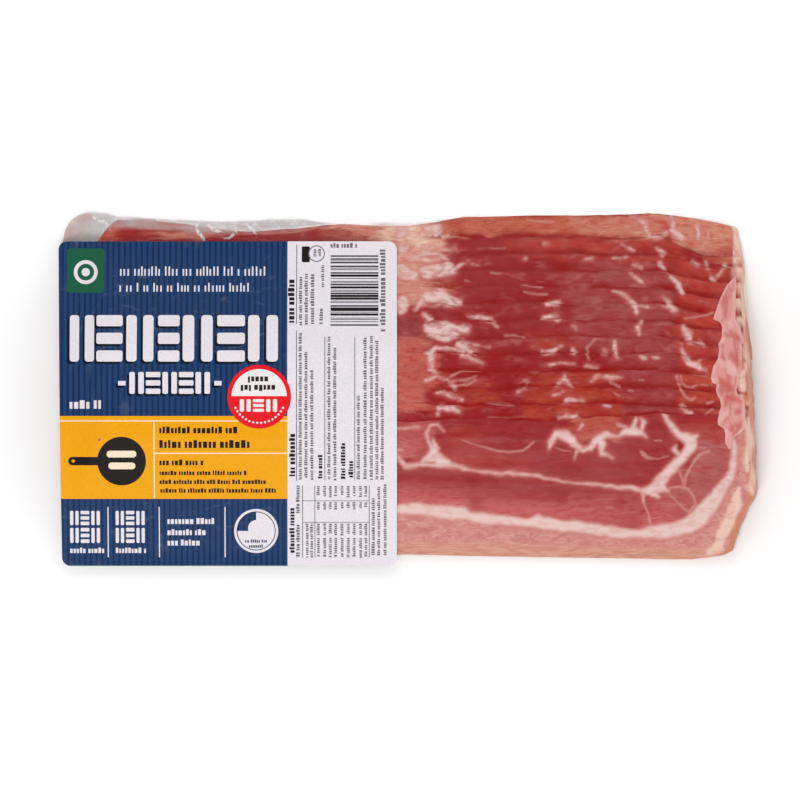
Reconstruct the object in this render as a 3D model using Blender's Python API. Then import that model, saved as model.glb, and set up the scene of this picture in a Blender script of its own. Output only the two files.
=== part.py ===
"""A vacuum pack of streaky bacon, lying flat with its show side up.

Thirteen rashers overlap like roof tiles inside a clear film that is drawn tight over them and sealed in a
thin margin round them. A printed paper label covers the left half of the pack, and a round price sticker
lies on the label. The film with its contents is one solid, and the label and the sticker are one each.

Units are metres and +Z is up. +X runs along the rashers, and +Y points across them, towards the rasher
that was laid down first. The origin is on the surface the pack lies on, under the middle of the pack.
"""

import math

import bmesh
import bpy

MM = 0.001

# The rashers: each one lies on the one before it, a step nearer the front.
RASHER_COUNT = 13
RASHER_WIDTH = 48 * MM
RASHER_THICKNESS = 2.26 * MM
RASHER_STEP = 6 * MM
FIRST_BACK_EDGE = 60.5 * MM
LEFT_END = -121 * MM
RIGHT_END = 123 * MM
TOP_RASHER_BACK = FIRST_BACK_EDGE - (RASHER_COUNT - 1) * RASHER_STEP

# The right ends follow a shallow arc, and the front right corner is cut off at a slant.
RIGHT_ARC_MIDDLE_Y = -30 * MM
RIGHT_ARC_HALF_SPAN = 79 * MM
RIGHT_ARC_DEPTH = 5.4 * MM
CORNER_CUT_ANGLE = math.radians(-30.6)
CORNER_CUT_REACH = 125.1 * MM

# How far the film rounds each edge that it is drawn over.
VISIBLE_EDGE_SOFTNESS = 0.9 * MM
BRIDGED_EDGE_SOFTNESS = 5 * MM
HIDDEN_EDGE_SOFTNESS = 3 * MM
LEFT_RUN = 25 * MM
RIGHT_RUN = 9 * MM
UNDERSIDE_RUN = 3 * MM

# The edges that show wander a little along the pack, but lie straight under the label.
WAVE_HEIGHT = 0.45 * MM
WAVE_LENGTHS = (83 * MM, 41 * MM)
WAVE_SLANT = 1.7
WAVE_RUN = 12 * MM

# The film's seal margin stands at this share of the stack's height, where the two sheets meet.
SEAM_SHARE = 0.45
FILM_THICKNESS = 0.6 * MM

# The film's outline, from its front left corner round by the right. It runs as one smooth closed curve.
FILM_OUTLINE = (
    (-121.5, -61.4),
    (-112, -61.7),
    (-60, -61.2),
    (-2, -59.9),
    (60, -60.5),
    (92, -61.4),
    (106, -60.7),
    (115, -58.4),
    (118.2, -51),
    (121.5, -43.4),
    (124, -39.3),
    (124.8, -35),
    (124.5, -12),
    (121.9, 22),
    (120.6, 42),
    (118.9, 54),
    (115.5, 59),
    (106, 61.1),
    (94, 62.9),
    (80, 63.2),
    (60, 62.8),
    (26, 62.6),
    (14, 60.9),
    (4, 59.5),
    (-12, 59.2),
    (-28, 59.4),
    (-42, 60.7),
    (-60, 59.9),
    (-90, 60.8),
    (-103, 61.6),
    (-113, 63.1),
    (-120.5, 60.4),
    (-123.8, 52),
    (-124.1, 0),
    (-123.8, -54),
)

# The label and the round sticker on it.
LABEL_LEFT = -125.2 * MM
LABEL_RIGHT = -4.1 * MM
LABEL_FRONT = -63.2 * MM
LABEL_BACK = 53.2 * MM
LABEL_CORNER_RADIUS = 3 * MM
LABEL_THICKNESS = 0.4 * MM
LABEL_BLEND = 4 * MM
STICKER_CENTRE = (-53.2 * MM, -2.7 * MM)
STICKER_RADIUS = 11.35 * MM
STICKER_THICKNESS = 0.4 * MM
PAPER_GAP = 0.3 * MM

# The grid lines that all the draped solids share, so that they lie parallel to each other.
GRID_LEFT = -128 * MM
GRID_RIGHT = 128 * MM
GRID_FRONT = -66 * MM
GRID_BACK = 66 * MM
LEFT_SLOPE_START = -98 * MM
RIGHT_SLOPE_START = 108 * MM
FRONT_SLOPE_START = -57 * MM
END_STEPS = 8
COVERED_STEPS = 10
OPEN_STEPS = 18
FRONT_STEPS = 4
TOP_RASHER_STEPS = 6
CREST_OFFSET = 1.4 * MM
FOOT_OFFSET = 0.6 * MM

CORNER_STEPS = 6
CIRCLE_STEPS = 32
PRISM_HALF_HEIGHT = 40 * MM
CAP_WELD = 0.01 * MM
SHARP_ANGLE = math.radians(50)


def soft_step(distance, softness):
    """0 far outside an edge, 1 far inside it and a half on it."""
    return 0.5 + 0.5 * math.tanh(distance / softness)


def smooth_ramp(share):
    """0 below 0, 1 above 1 and a smooth rise between them."""
    held = min(max(share, 0.0), 1.0)
    return held * held * (3 - 2 * held)


def edge_wave(x, y):
    """How far an edge that lies at y along the pack wanders from its straight line at x."""
    uncovered = smooth_ramp((x - LABEL_RIGHT) / WAVE_RUN)
    inner = smooth_ramp((FIRST_BACK_EDGE - y) / WAVE_RUN) * smooth_ramp((y - TOP_RASHER_BACK) / WAVE_RUN + 1)
    turns = [(x + WAVE_SLANT * y) / length for length in WAVE_LENGTHS]
    return WAVE_HEIGHT * uncovered * inner * sum(math.sin(2 * math.pi * turn) for turn in turns)


def back_edge(rasher):
    """Where this rasher's back edge, the one that shows, lies across the pack before it wanders."""
    return FIRST_BACK_EDGE - rasher * RASHER_STEP


def stack_height(x, y, edge_softness):
    """The height of the rashers that lie over each other at a point."""
    layers = 0.0
    for rasher in range(RASHER_COUNT):
        back = back_edge(rasher) + edge_wave(x, back_edge(rasher))
        front = back_edge(rasher) - RASHER_WIDTH
        layers += soft_step(back - y, edge_softness) * soft_step(y - front, HIDDEN_EDGE_SOFTNESS)
    return RASHER_THICKNESS * layers


def inside_right_end(x, y):
    """How far a point lies inside the right ends of the rashers and their cut corner."""
    arc_share = (y - RIGHT_ARC_MIDDLE_Y) / RIGHT_ARC_HALF_SPAN
    right_end = RIGHT_END - RIGHT_ARC_DEPTH * arc_share**2
    along_cut = x * math.cos(CORNER_CUT_ANGLE) + y * math.sin(CORNER_CUT_ANGLE)
    return min(right_end - x, CORNER_CUT_REACH - along_cut)


def label_cover(x, y):
    """1 under the label, falling to 0 a little way outside it."""
    outside = max(x - LABEL_RIGHT, y - LABEL_BACK, 0.0)
    return 1 - smooth_ramp(outside / LABEL_BLEND)


def seam_height(x, y):
    """The height at which the two sheets of film meet at the ends."""
    return SEAM_SHARE * stack_height(x, y, BRIDGED_EDGE_SOFTNESS)


def pack_top(x, y):
    """The film's upper surface: a ridge over each rasher's edge, but bridged flat under the label."""
    cover = label_cover(x, y)
    bridged = stack_height(x, y, BRIDGED_EDGE_SOFTNESS)
    ridged = stack_height(x, y, VISIBLE_EDGE_SOFTNESS)
    stack = bridged * cover + ridged * (1 - cover)
    inside = smooth_ramp((x - LEFT_END) / LEFT_RUN) * smooth_ramp(inside_right_end(x, y) / RIGHT_RUN)
    seam = seam_height(x, y)
    return FILM_THICKNESS + seam + (stack - seam) * inside


def pack_base(x, y):
    """The film's lower surface: flat under the rashers, and rising to the seam at both ends."""
    inside_ends = min(x - LEFT_END, inside_right_end(x, y))
    return seam_height(x, y) * (1 - smooth_ramp(inside_ends / UNDERSIDE_RUN + 1))


def label_base(x, y):
    return pack_top(x, y) + PAPER_GAP


def label_top(x, y):
    return label_base(x, y) + LABEL_THICKNESS


def sticker_base(x, y):
    return label_top(x, y) + PAPER_GAP


def sticker_top(x, y):
    return sticker_base(x, y) + STICKER_THICKNESS


def even_lines(start, stop, steps):
    """Evenly spaced values from start up to stop, without stop itself."""
    return [start + (stop - start) * step / steps for step in range(steps)]


def lengthways_lines():
    """Where the grid is cut along the rashers: close together where the ends slope down."""
    lines = even_lines(GRID_LEFT, LEFT_SLOPE_START, END_STEPS)
    lines += even_lines(LEFT_SLOPE_START, LABEL_RIGHT, COVERED_STEPS)
    lines += even_lines(LABEL_RIGHT, RIGHT_SLOPE_START, OPEN_STEPS)
    lines += even_lines(RIGHT_SLOPE_START, GRID_RIGHT, END_STEPS)
    return lines + [GRID_RIGHT]


def crossways_lines():
    """Where the grid is cut across the rashers: at the foot and the crest of each ridge."""
    last_crest = TOP_RASHER_BACK - CREST_OFFSET
    lines = even_lines(GRID_FRONT, FRONT_SLOPE_START, FRONT_STEPS)
    lines += even_lines(FRONT_SLOPE_START, last_crest, TOP_RASHER_STEPS)
    for rasher in reversed(range(RASHER_COUNT)):
        lines += [back_edge(rasher) - CREST_OFFSET, back_edge(rasher) + FOOT_OFFSET]
    return lines + [GRID_BACK]


def lines_around(lines, low, high):
    """The grid lines from the last one at or below low to the first one at or above high."""
    first = max(index for index, line in enumerate(lines) if line <= low)
    last = min(index for index, line in enumerate(lines) if line >= high)
    return lines[first : last + 1]


def draped_slab(name, x_lines, y_lines, base, top):
    """A closed slab over the grid lines, between the surfaces that base(x, y) and top(x, y) give."""
    mesh = bpy.data.meshes.new(name)
    slab = bmesh.new()
    columns = len(x_lines)
    bmesh.ops.create_grid(slab, x_segments=columns - 1, y_segments=len(y_lines) - 1, size=1)
    slab.verts.ensure_lookup_table()
    for index, vertex in enumerate(slab.verts):
        x = x_lines[index % columns]
        line = y_lines[index // columns]
        y = line + edge_wave(x, line)
        vertex.co = (x, y, base(x, y))
    bmesh.ops.triangulate(slab, faces=slab.faces[:], quad_method="FIXED")
    raised = bmesh.ops.extrude_face_region(slab, geom=slab.faces[:])["geom"]
    for part in raised:
        if isinstance(part, bmesh.types.BMVert):
            part.co.z = top(part.co.x, part.co.y)
    bmesh.ops.recalc_face_normals(slab, faces=slab.faces[:])
    slab.to_mesh(mesh)
    slab.free()
    return bpy.data.objects.new(name, mesh)


def flat_outline_curve(name, points, kind):
    """A closed flat curve through the points, filled and extruded into a tall prism."""
    curve = bpy.data.curves.new(name, "CURVE")
    curve.dimensions = "2D"
    curve.fill_mode = "BOTH"
    curve.extrude = PRISM_HALF_HEIGHT
    curve.resolution_u = CORNER_STEPS
    spline = curve.splines.new(kind)
    if kind == "BEZIER":
        spline.bezier_points.add(len(points) - 1)
        for knot, (x, y) in zip(spline.bezier_points, points):
            knot.co = (x, y, 0)
            knot.handle_left_type = "AUTO"
            knot.handle_right_type = "AUTO"
    else:
        spline.points.add(len(points) - 1)
        for knot, (x, y) in zip(spline.points, points):
            knot.co = (x, y, 0, 1)
    spline.use_cyclic_u = True
    return bpy.data.objects.new(name, curve)


def prism_cutter(name, points, kind, cutters):
    """The prism over an outline as a hidden mesh object, ready to trim a slab."""
    guide = flat_outline_curve(name + "_curve", points, kind)
    cutters.objects.link(guide)
    bpy.context.view_layer.update()
    graph = bpy.context.evaluated_depsgraph_get()
    mesh = bpy.data.meshes.new_from_object(guide.evaluated_get(graph))
    welded = bmesh.new()
    welded.from_mesh(mesh)
    bmesh.ops.remove_doubles(welded, verts=welded.verts[:], dist=CAP_WELD)
    bmesh.ops.recalc_face_normals(welded, faces=welded.faces[:])
    welded.to_mesh(mesh)
    welded.free()
    cutter = bpy.data.objects.new(name, mesh)
    cutter.matrix_world = guide.matrix_world.copy()
    cutter.hide_render = True
    cutter.display_type = "WIRE"
    cutters.objects.link(cutter)
    bpy.data.objects.remove(guide)
    return cutter


def trim(slab, cutter):
    """Keeps the part of the slab that lies inside the cutter's outline."""
    boolean = slab.modifiers.new("trim to outline", "BOOLEAN")
    boolean.operation = "INTERSECT"
    boolean.solver = "EXACT"
    boolean.object = cutter


def rounded_rectangle(left, right, front, back, radius):
    """The points of a rectangle with round corners, anticlockwise."""
    points = []
    centres = (
        (right - radius, back - radius),
        (left + radius, back - radius),
        (left + radius, front + radius),
        (right - radius, front + radius),
    )
    for quarter, (centre_x, centre_y) in enumerate(centres):
        for step in range(CORNER_STEPS + 1):
            angle = (quarter + step / CORNER_STEPS) * math.pi / 2
            points.append((centre_x + radius * math.cos(angle), centre_y + radius * math.sin(angle)))
    return points


def circle(centre, radius):
    points = []
    for step in range(CIRCLE_STEPS):
        angle = 2 * math.pi * step / CIRCLE_STEPS
        points.append((centre[0] + radius * math.cos(angle), centre[1] + radius * math.sin(angle)))
    return points


def plain_material(name, colour, roughness):
    """A material of one colour, which isn't a metal."""
    material = bpy.data.materials.new(name)
    material.use_nodes = True
    shader = material.node_tree.nodes["Principled BSDF"]
    shader.inputs["Base Color"].default_value = (*colour, 1)
    shader.inputs["Roughness"].default_value = roughness
    shader.inputs["Metallic"].default_value = 0
    return material


def finish_part(part, material, parts):
    """Gives a part its material and smooth shading, and puts it in the object's collection."""
    part.data.materials.append(material)
    part.data.shade_smooth()
    part.data.set_sharp_from_angle(angle=SHARP_ANGLE)
    parts.objects.link(part)


def build_pack(parts, cutters):
    """The film drawn over the rashers, with its seal margin."""
    pack = draped_slab("bacon_pack", lengthways_lines(), crossways_lines(), pack_base, pack_top)
    outline = [(x * MM, y * MM) for x, y in FILM_OUTLINE]
    trim(pack, prism_cutter("film_outline", outline, "BEZIER", cutters))
    finish_part(pack, plain_material("film over bacon", (0.46, 0.07, 0.06), 0.2), parts)


def build_label(parts, cutters):
    """The paper label over the left half of the pack."""
    x_lines = lines_around(lengthways_lines(), LABEL_LEFT, LABEL_RIGHT)
    y_lines = lines_around(crossways_lines(), LABEL_FRONT, LABEL_BACK)
    label = draped_slab("label", x_lines, y_lines, label_base, label_top)
    outline = rounded_rectangle(LABEL_LEFT, LABEL_RIGHT, LABEL_FRONT, LABEL_BACK, LABEL_CORNER_RADIUS)
    trim(label, prism_cutter("label_outline", outline, "POLY", cutters))
    finish_part(label, plain_material("printed paper", (0.02, 0.05, 0.12), 0.4), parts)


def build_sticker(parts, cutters):
    """The round price sticker on the label."""
    centre_x, centre_y = STICKER_CENTRE
    x_lines = lines_around(lengthways_lines(), centre_x - STICKER_RADIUS, centre_x + STICKER_RADIUS)
    y_lines = lines_around(crossways_lines(), centre_y - STICKER_RADIUS, centre_y + STICKER_RADIUS)
    sticker = draped_slab("price_sticker", x_lines, y_lines, sticker_base, sticker_top)
    trim(sticker, prism_cutter("sticker_outline", circle(STICKER_CENTRE, STICKER_RADIUS), "POLY", cutters))
    finish_part(sticker, plain_material("sticker paper", (0.6, 0.02, 0.03), 0.35), parts)


def main():
    for old in list(bpy.data.objects):
        bpy.data.objects.remove(old)
    parts = bpy.data.collections.new("bacon pack")
    cutters = bpy.data.collections.new("cutters")
    bpy.context.scene.collection.children.link(parts)
    bpy.context.scene.collection.children.link(cutters)
    build_pack(parts, cutters)
    build_label(parts, cutters)
    build_sticker(parts, cutters)


main()
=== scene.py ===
"""The looks of the bacon pack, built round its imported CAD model.

Thirteen separate rashers lie over each other like roof tiles. Each one is a closed slab that rests on the
ones before it, and its marbling is drawn with strokes of fat in the pack's own plan. A clear film is then
drawn tight over them by relaxing a sheet on the stack, and the printed label and the sticker are laid on
the film. Lengths are in millimetres until a mesh is made. +X runs along the rashers, +Y points across them
to the back, where the first rasher lies, and +Z is up.
"""

import math

import bpy
import numpy as np
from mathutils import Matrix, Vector
from mathutils.bvhtree import BVHTree
from mathutils.geometry import delaunay_2d_cdt

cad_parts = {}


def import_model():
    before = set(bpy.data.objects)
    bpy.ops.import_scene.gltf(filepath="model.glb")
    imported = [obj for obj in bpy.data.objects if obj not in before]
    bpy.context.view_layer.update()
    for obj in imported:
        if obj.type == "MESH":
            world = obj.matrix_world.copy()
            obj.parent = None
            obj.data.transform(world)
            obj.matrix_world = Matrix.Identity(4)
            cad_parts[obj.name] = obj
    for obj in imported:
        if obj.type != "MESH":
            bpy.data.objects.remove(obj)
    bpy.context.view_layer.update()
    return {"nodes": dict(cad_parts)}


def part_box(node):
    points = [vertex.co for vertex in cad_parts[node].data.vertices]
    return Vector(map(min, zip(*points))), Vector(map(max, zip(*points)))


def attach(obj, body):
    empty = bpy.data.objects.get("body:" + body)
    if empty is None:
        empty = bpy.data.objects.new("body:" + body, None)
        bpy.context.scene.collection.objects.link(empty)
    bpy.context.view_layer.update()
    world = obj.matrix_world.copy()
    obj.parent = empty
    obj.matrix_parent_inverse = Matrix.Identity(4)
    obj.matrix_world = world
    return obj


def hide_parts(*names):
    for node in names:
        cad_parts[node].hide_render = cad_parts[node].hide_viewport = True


MM = 0.001
SHARP_ANGLE = math.radians(75)

# The rashers, as in the CAD model.
RASHER_COUNT = 13
TOP_RASHER = RASHER_COUNT - 1
RASHER_WIDTH = 48.0
RASHER_THICKNESS = 2.26
RASHER_STEP = 6.0
FIRST_BACK_EDGE = 60.5
LEFT_END = -118.5
RIGHT_END = 124.5

# The back edge of the first rasher, which is also the outline of the meat: (x, y) along the pack.
# The right end draws in the places beyond x = 84, so they are stretched here.
FIRST_BACK_OUTLINE = (
    (-120, 60.6), (-105, 60.6), (-91.7, 59.8), (-80, 59.0), (-69, 57.2), (-63.7, 56.5), (-55.5, 56.2),
    (-47.4, 57.0), (-39, 57.4), (-32.6, 58.2), (-24, 59.0), (-10, 58.5), (0, 58.7), (10, 59.7), (20, 61.7),
    (45, 62.1), (70, 62.5), (84, 62.8), (104, 62.7), (116, 62.1), (122.5, 61.0), (122.9, 60.2),
    (124.5, 59.5),
)

# How far out the film lets the right ends lie: (y, x) from front to back.
RIGHT_OUTLINE = (
    (-62.0, 102.0), (-60.9, 102.0), (-60.2, 108.0), (-59.5, 113.2), (-57.8, 116.9), (-53.8, 118.2),
    (-50.2, 119.0), (-43, 122.3), (-39.5, 124.5), (-36.5, 125.3), (-25, 125.2), (0, 124.2), (12, 123.2),
    (22, 121.9), (33, 120.6), (43, 120.4), (54, 119.0), (56.2, 118.7), (57.3, 118.3), (57.8, 117.3),
    (58.4, 115.4), (59.4, 111.4), (60.4, 107.0), (61.6, 101.0), (62.6, 96.0),
)

# How far the top rasher's back edge bulges out past its line: (x, bulge).
TOP_BULGE = ((-10, 0.4), (50, 0.5), (75, 2.0), (91, 3.2), (104, 3.0), (115, 2.0))

# How far the back edge of each rasher has slipped forwards at its right end: (rasher, slip).
RIGHT_SLIPS = ((0, 0.0), (1, 7.0), (2, 5.0), (3, 4.5), (5, 4.0), (7, 3.0), (9, 2.0), (11, 0.8), (12, 0.0))
SLIP_START = 88.0
SLIP_LENGTH = 24.0

# How each rasher strays from the plain pattern.
EDGE_WANDER = 0.7
EDGE_WANDER_LENGTH = 15.0
FRONT_TILT = -0.018
FRONT_LIMIT = -60.9
LEFT_SLANT = 13.5
LEFT_SLANT_POWER = 4.0
RIGHT_SLANT = 3.5
FILM_ALLOWANCE = 0.1
END_WANDER = 0.6
CORNER_ROUNDING = 3.5
BACK_LIP = 0.16
BACK_LIP_LENGTH = 0.5
FRONT_ROUNDING = 1.3
END_ROUNDING = 1.5
THICKNESS_WANDER = 0.08

# How far each edge props up the rashers above it, inside and outside its line.
PROP_INSIDE = 0.6
BACK_PROP_OUTSIDE = 2.0
FRONT_PROP_OUTSIDE = 6.0
END_PROP_OUTSIDE = 2.0

# Spacing of the rashers' grid lines. The rows are spans of (length, step) from the back to the front. The
# columns are coarser left of COVERED_UNTIL, where the label covers most of the meat.
OPEN_STEP = 0.55
COVERED_STEP = 1.6
TOP_RASHER_STEP = 0.5
COVERED_UNTIL = -7.0
EDGE_BAND = 1.5
END_STEP = 0.3
END_REACH = 40.0
TOP_ROWS = ((EDGE_BAND, 0.25), (RASHER_WIDTH - 2 * EDGE_BAND, TOP_RASHER_STEP), (EDGE_BAND, 0.3))
STRIP_ROWS = ((EDGE_BAND, 0.3), (6.5, 0.6), (RASHER_WIDTH - 17, 3.0), (7.5, 1.0), (EDGE_BAND, 0.4))

# The film. It leaves FOLD_ROOM times the thickness of the fold of fat free over the stack.
FILM_STEP = 1.25
FILM_WOBBLE = 0.12
FILM_OFFSET = 0.12
FILM_BEND_RADIUS = 1.3
FILM_RELAX_PASSES = 500
FILM_FLOOR = 0.03
SEAM_FLOOR = 0.5
LEFT_SEAM_SHARE = 0.45
RIGHT_SEAM_SHARE = 0.9
SEAM_RISE_START = -60.0
SEAM_RISE_LENGTH = 120.0
SEAM_BLUR_PASSES = 60
SLACK_BLUR_PASSES = 6
SLACK_RIGHT = 30.0
SLACK_FRONT = 40.0
FOLD_ROOM = 1.3
FIELD_STEP = 1.0
FIELD_MARGIN = 6.0
RIM_POINTS = 420
RIM_SEARCH_STEPS = 16
RIM_SEARCH_SHARES = (0.5, 1.2)
RIM_GAP = 0.8
RIPPLE_HEIGHT = 0.5
NOWHERE = 1000.0

# The label and the sticker.
LABEL_CORNER_RADIUS = 3.0
LABEL_BACK_GAP = 0.4
LABEL_TAPER = 1.35
LABEL_TAPER_RATE = 2.6
LABEL_GRID_STEP = 2.5
LABEL_CLEARANCE = 0.25
LABEL_THICKNESS = 0.18
PAPER_BEND_RADIUS = 30.0
PAPER_RELAX_PASSES = 1200
STICKER_CLEARANCE = 0.05
STICKER_THICKNESS = 0.14
STICKER_GRID_STEP = 2.0
STICKER_RIM = 1.5
STICKER_CORNERS = 64

# The camera looks straight down from a little in front and to the left of the middle of the pack.
CAMERA_LENS = 600.0
CAMERA_SENSOR = 36.0
CAMERA_FIELD_WIDTH = 285.7
CAMERA_OFFSET = (-3.0, -3.9)
CAMERA_AIM_HEIGHT = 9.0

# The lamps: (name, azimuth and elevation in degrees, power). They are soft squares, in metres.
LAMPS = (("key", 250, 55, 10.6), ("rim", 100, 35, 5), ("side", 0, 30, 3.2))
LAMP_DISTANCE = 1.6
LAMP_SIZE = 0.8
FLOOR_SIZE = 6.0


def ramp(value):
    """0 below 0, 1 above 1 and a smooth rise between them."""
    held = np.clip(value, 0, 1)
    return held * held * (3 - 2 * held)


def round_over(distance, radius):
    """The height of a quarter-round edge, from 0 on the edge to 1 at its radius."""
    share = np.clip(distance / radius, 0, 1)
    return np.sqrt(share * (2 - share))


def smooth_noise(x, y, size, seed):
    """Smooth random values from -1 to 1, with bumps about this size."""
    lattice = np.random.default_rng(seed).uniform(-1, 1, (64, 64))
    u, v = np.broadcast_arrays(np.asarray(x, float) / size, np.asarray(y, float) / size)
    i = np.floor(u).astype(int)
    j = np.floor(v).astype(int)
    fu = ramp(u - i)
    fv = ramp(v - j)
    near = lattice[i % 64, j % 64] * (1 - fu) + lattice[(i + 1) % 64, j % 64] * fu
    far = lattice[i % 64, (j + 1) % 64] * (1 - fu) + lattice[(i + 1) % 64, (j + 1) % 64] * fu
    return near * (1 - fv) + far * fv


def along(points, position):
    """Reads the value at a position off a line of (position, value) points."""
    places, values = zip(*points)
    return np.interp(position, places, values)


def rgb(*channels):
    """A colour of three display values from 0 to 255, as the linear values that shaders take."""
    shares = [channel / 255 for channel in channels]
    return tuple(share / 12.92 if share < 0.04 else ((share + 0.055) / 1.055) ** 2.4 for share in shares)


# ---------------------------------------------------------------------------------------------------------
# The shapes of the rashers
# ---------------------------------------------------------------------------------------------------------


def back_line(rasher):
    """Where a rasher's back edge would lie if it were straight."""
    return FIRST_BACK_EDGE - rasher * RASHER_STEP


def back_edge(rasher, x):
    """Where a rasher's back edge lies at x."""
    wander = EDGE_WANDER * smooth_noise(x, 7.3 * rasher, EDGE_WANDER_LENGTH, 11)
    wander += 0.45 * EDGE_WANDER * smooth_noise(x, 3.1 * rasher, EDGE_WANDER_LENGTH / 4, 12)
    if rasher == 0:
        return along(FIRST_BACK_OUTLINE, x) + 0.3 * wander
    if rasher == TOP_RASHER:
        wander += along(TOP_BULGE, x)
    slip = along(RIGHT_SLIPS, rasher) * ramp((x - SLIP_START) / SLIP_LENGTH)
    return back_line(rasher) + wander - slip


def front_edge(rasher, x):
    """Where a rasher's front edge lies at x."""
    wander = 0.5 * EDGE_WANDER * smooth_noise(x, 5.9 * rasher, EDGE_WANDER_LENGTH * 2, 13)
    edge = back_line(rasher) - RASHER_WIDTH + 0.2 + FRONT_TILT * np.maximum(x, 0) + wander
    return np.maximum(edge, FRONT_LIMIT)


def from_back(rasher, y):
    """How far across the rasher a point lies, from 0 at its back to 1 at its front."""
    return np.clip((back_line(rasher) - y) / RASHER_WIDTH, 0, 1)


def corner_setback(rasher, y):
    """How much a round corner takes off the rasher's end."""
    across = from_back(rasher, y) * RASHER_WIDTH
    nearest = np.minimum(across, RASHER_WIDTH - across)
    return CORNER_ROUNDING * (1 - round_over(nearest, CORNER_ROUNDING))


def stagger(rasher, y):
    """The share of the full stack that lies under a rasher: 0 on the table, 1 on the thickest stack."""
    return np.minimum(rasher * RASHER_STEP / RASHER_WIDTH, 1 - from_back(rasher, y))


def left_end(rasher, y):
    """Where a rasher's left end lies at y."""
    wander = END_WANDER * smooth_noise(y, 4.7 * rasher, 9.0, 14)
    slant = LEFT_SLANT * (1 - from_back(rasher, y)) ** LEFT_SLANT_POWER
    return LEFT_END + slant + wander + 0.4 * corner_setback(rasher, y)


def right_end(rasher, y):
    """Where a rasher's right end lies at y. Rashers higher in the stack reach less far."""
    outer = along(RIGHT_OUTLINE, y) - FILM_ALLOWANCE
    wander = 0.7 * END_WANDER * (smooth_noise(y, 6.1 * rasher, 7.0, 15) - 0.7)
    corner = 0.15 * corner_setback(rasher, y) if rasher > 0 else 0
    return outer - RIGHT_SLANT * stagger(rasher, y) + wander - corner


def thickness(rasher, x, y):
    """A rasher's full thickness, which wanders a little."""
    return RASHER_THICKNESS * (1 + THICKNESS_WANDER * smooth_noise(x, y, 16.0, 20 + rasher))


def prop(rasher, x, y):
    """How far a rasher props up the ones above it: 1 over its middle, and 0 well outside its edges."""

    def edge(distance, outside):
        return ramp((distance + outside) / (outside + PROP_INSIDE))

    back = edge(back_edge(rasher, x) - y, BACK_PROP_OUTSIDE)
    front = edge(y - front_edge(rasher, x), FRONT_PROP_OUTSIDE)
    left = edge(x - left_end(rasher, y), END_PROP_OUTSIDE)
    right = edge(right_end(rasher, y) - x, END_PROP_OUTSIDE)
    return (back * front) * (left * right)


def straight_y(rasher, x, y):
    """Where a point of a strip would lie across the pack if all the back edges ran straight."""
    share = (back_edge(rasher, x) - y) / wedge_width(rasher, x)
    return back_line(rasher) - RASHER_STEP * share


def underside_height(rasher, x, y):
    """The height that the rashers before this one hold it at."""
    height = np.zeros(np.broadcast(x, y).shape)
    for below in range(rasher):
        height += thickness(below, x, y) * prop(below, x, y)
    return height


def wedge_width(rasher, x):
    """How wide the rasher's back edge is pressed thin: as far as the next rasher's back edge."""
    if rasher == TOP_RASHER:
        return RASHER_STEP
    return np.maximum(back_edge(rasher, x) - back_edge(rasher + 1, x), 1.5)


def body_share(rasher, x, y):
    """A rasher's own share of its thickness at a point: 1 inside and 0 from its edges outwards.

    Its back edge is pressed to a wedge that ends where the next rasher begins, with a small lip.
    """
    inside = np.maximum(back_edge(rasher, x) - y, 0)
    lip = BACK_LIP * ramp(0.45 + 0.8 * smooth_noise(x, 13.0 * rasher, 10.0, 16)) * (rasher < TOP_RASHER)
    wedge = np.minimum(inside / wedge_width(rasher, x), 1)
    share = (1 - lip) * wedge + lip * (1 - np.exp(-inside / BACK_LIP_LENGTH))
    share = share * round_over(y - front_edge(rasher, x), FRONT_ROUNDING)
    share = share * round_over(x - left_end(rasher, y), END_ROUNDING)
    return share * round_over(right_end(rasher, y) - x, END_ROUNDING)


def graded_lines(*spans):
    """Values from 0 to 1 through spans of (length, step), each cut into equal steps."""
    total = sum(length for length, step in spans)
    lines = [0.0]
    reached = 0.0
    for length, step in spans:
        count = max(1, round(length / step))
        lines += [(reached + length * (index + 1) / count) / total for index in range(count)]
        reached += length
    return np.array(lines)


def rasher_plan(rasher):
    """The plan positions of a rasher's grid, as two arrays of rows by columns."""
    left, right = LEFT_END, RIGHT_END
    on_top = rasher == TOP_RASHER
    rows = graded_lines(*(TOP_ROWS if on_top else STRIP_ROWS))
    end = (EDGE_BAND, END_STEP)
    covered = (COVERED_UNTIL - left - EDGE_BAND, COVERED_STEP)
    visible = (right - COVERED_UNTIL - EDGE_BAND, TOP_RASHER_STEP if on_top else OPEN_STEP)
    columns = graded_lines(end, covered, visible, end)
    plain_x = left + (right - left) * columns[None, :]
    back = back_edge(rasher, plain_x)
    front = front_edge(rasher, plain_x)
    y = back - rows[:, None] * (back - front)
    left_share = np.clip(1 - (plain_x - left) / END_REACH, 0, 1)
    right_share = np.clip(1 - (right - plain_x) / END_REACH, 0, 1)
    x = plain_x + left_share * (left_end(rasher, y) - left) + right_share * (right_end(rasher, y) - right)
    return x, y


# ---------------------------------------------------------------------------------------------------------
# Meshes
# ---------------------------------------------------------------------------------------------------------


def new_piece(name, points, faces):
    """An object with a mesh of these points, in millimetres. All its faces have as many corners."""
    mesh = bpy.data.meshes.new(name)
    mesh.vertices.add(len(points))
    mesh.vertices.foreach_set("co", (np.asarray(points) * MM).astype(np.float32).ravel())
    mesh.loops.add(faces.size)
    mesh.loops.foreach_set("vertex_index", faces.astype(np.int32).ravel())
    mesh.polygons.add(len(faces))
    mesh.polygons.foreach_set("loop_start", np.arange(0, faces.size, faces.shape[1], dtype=np.int32))
    mesh.update(calc_edges=True)
    mesh.validate()
    mesh.shade_smooth()
    mesh.set_sharp_from_angle(angle=SHARP_ANGLE)
    piece = bpy.data.objects.new(name, mesh)
    bpy.context.scene.collection.objects.link(piece)
    return piece


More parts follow.
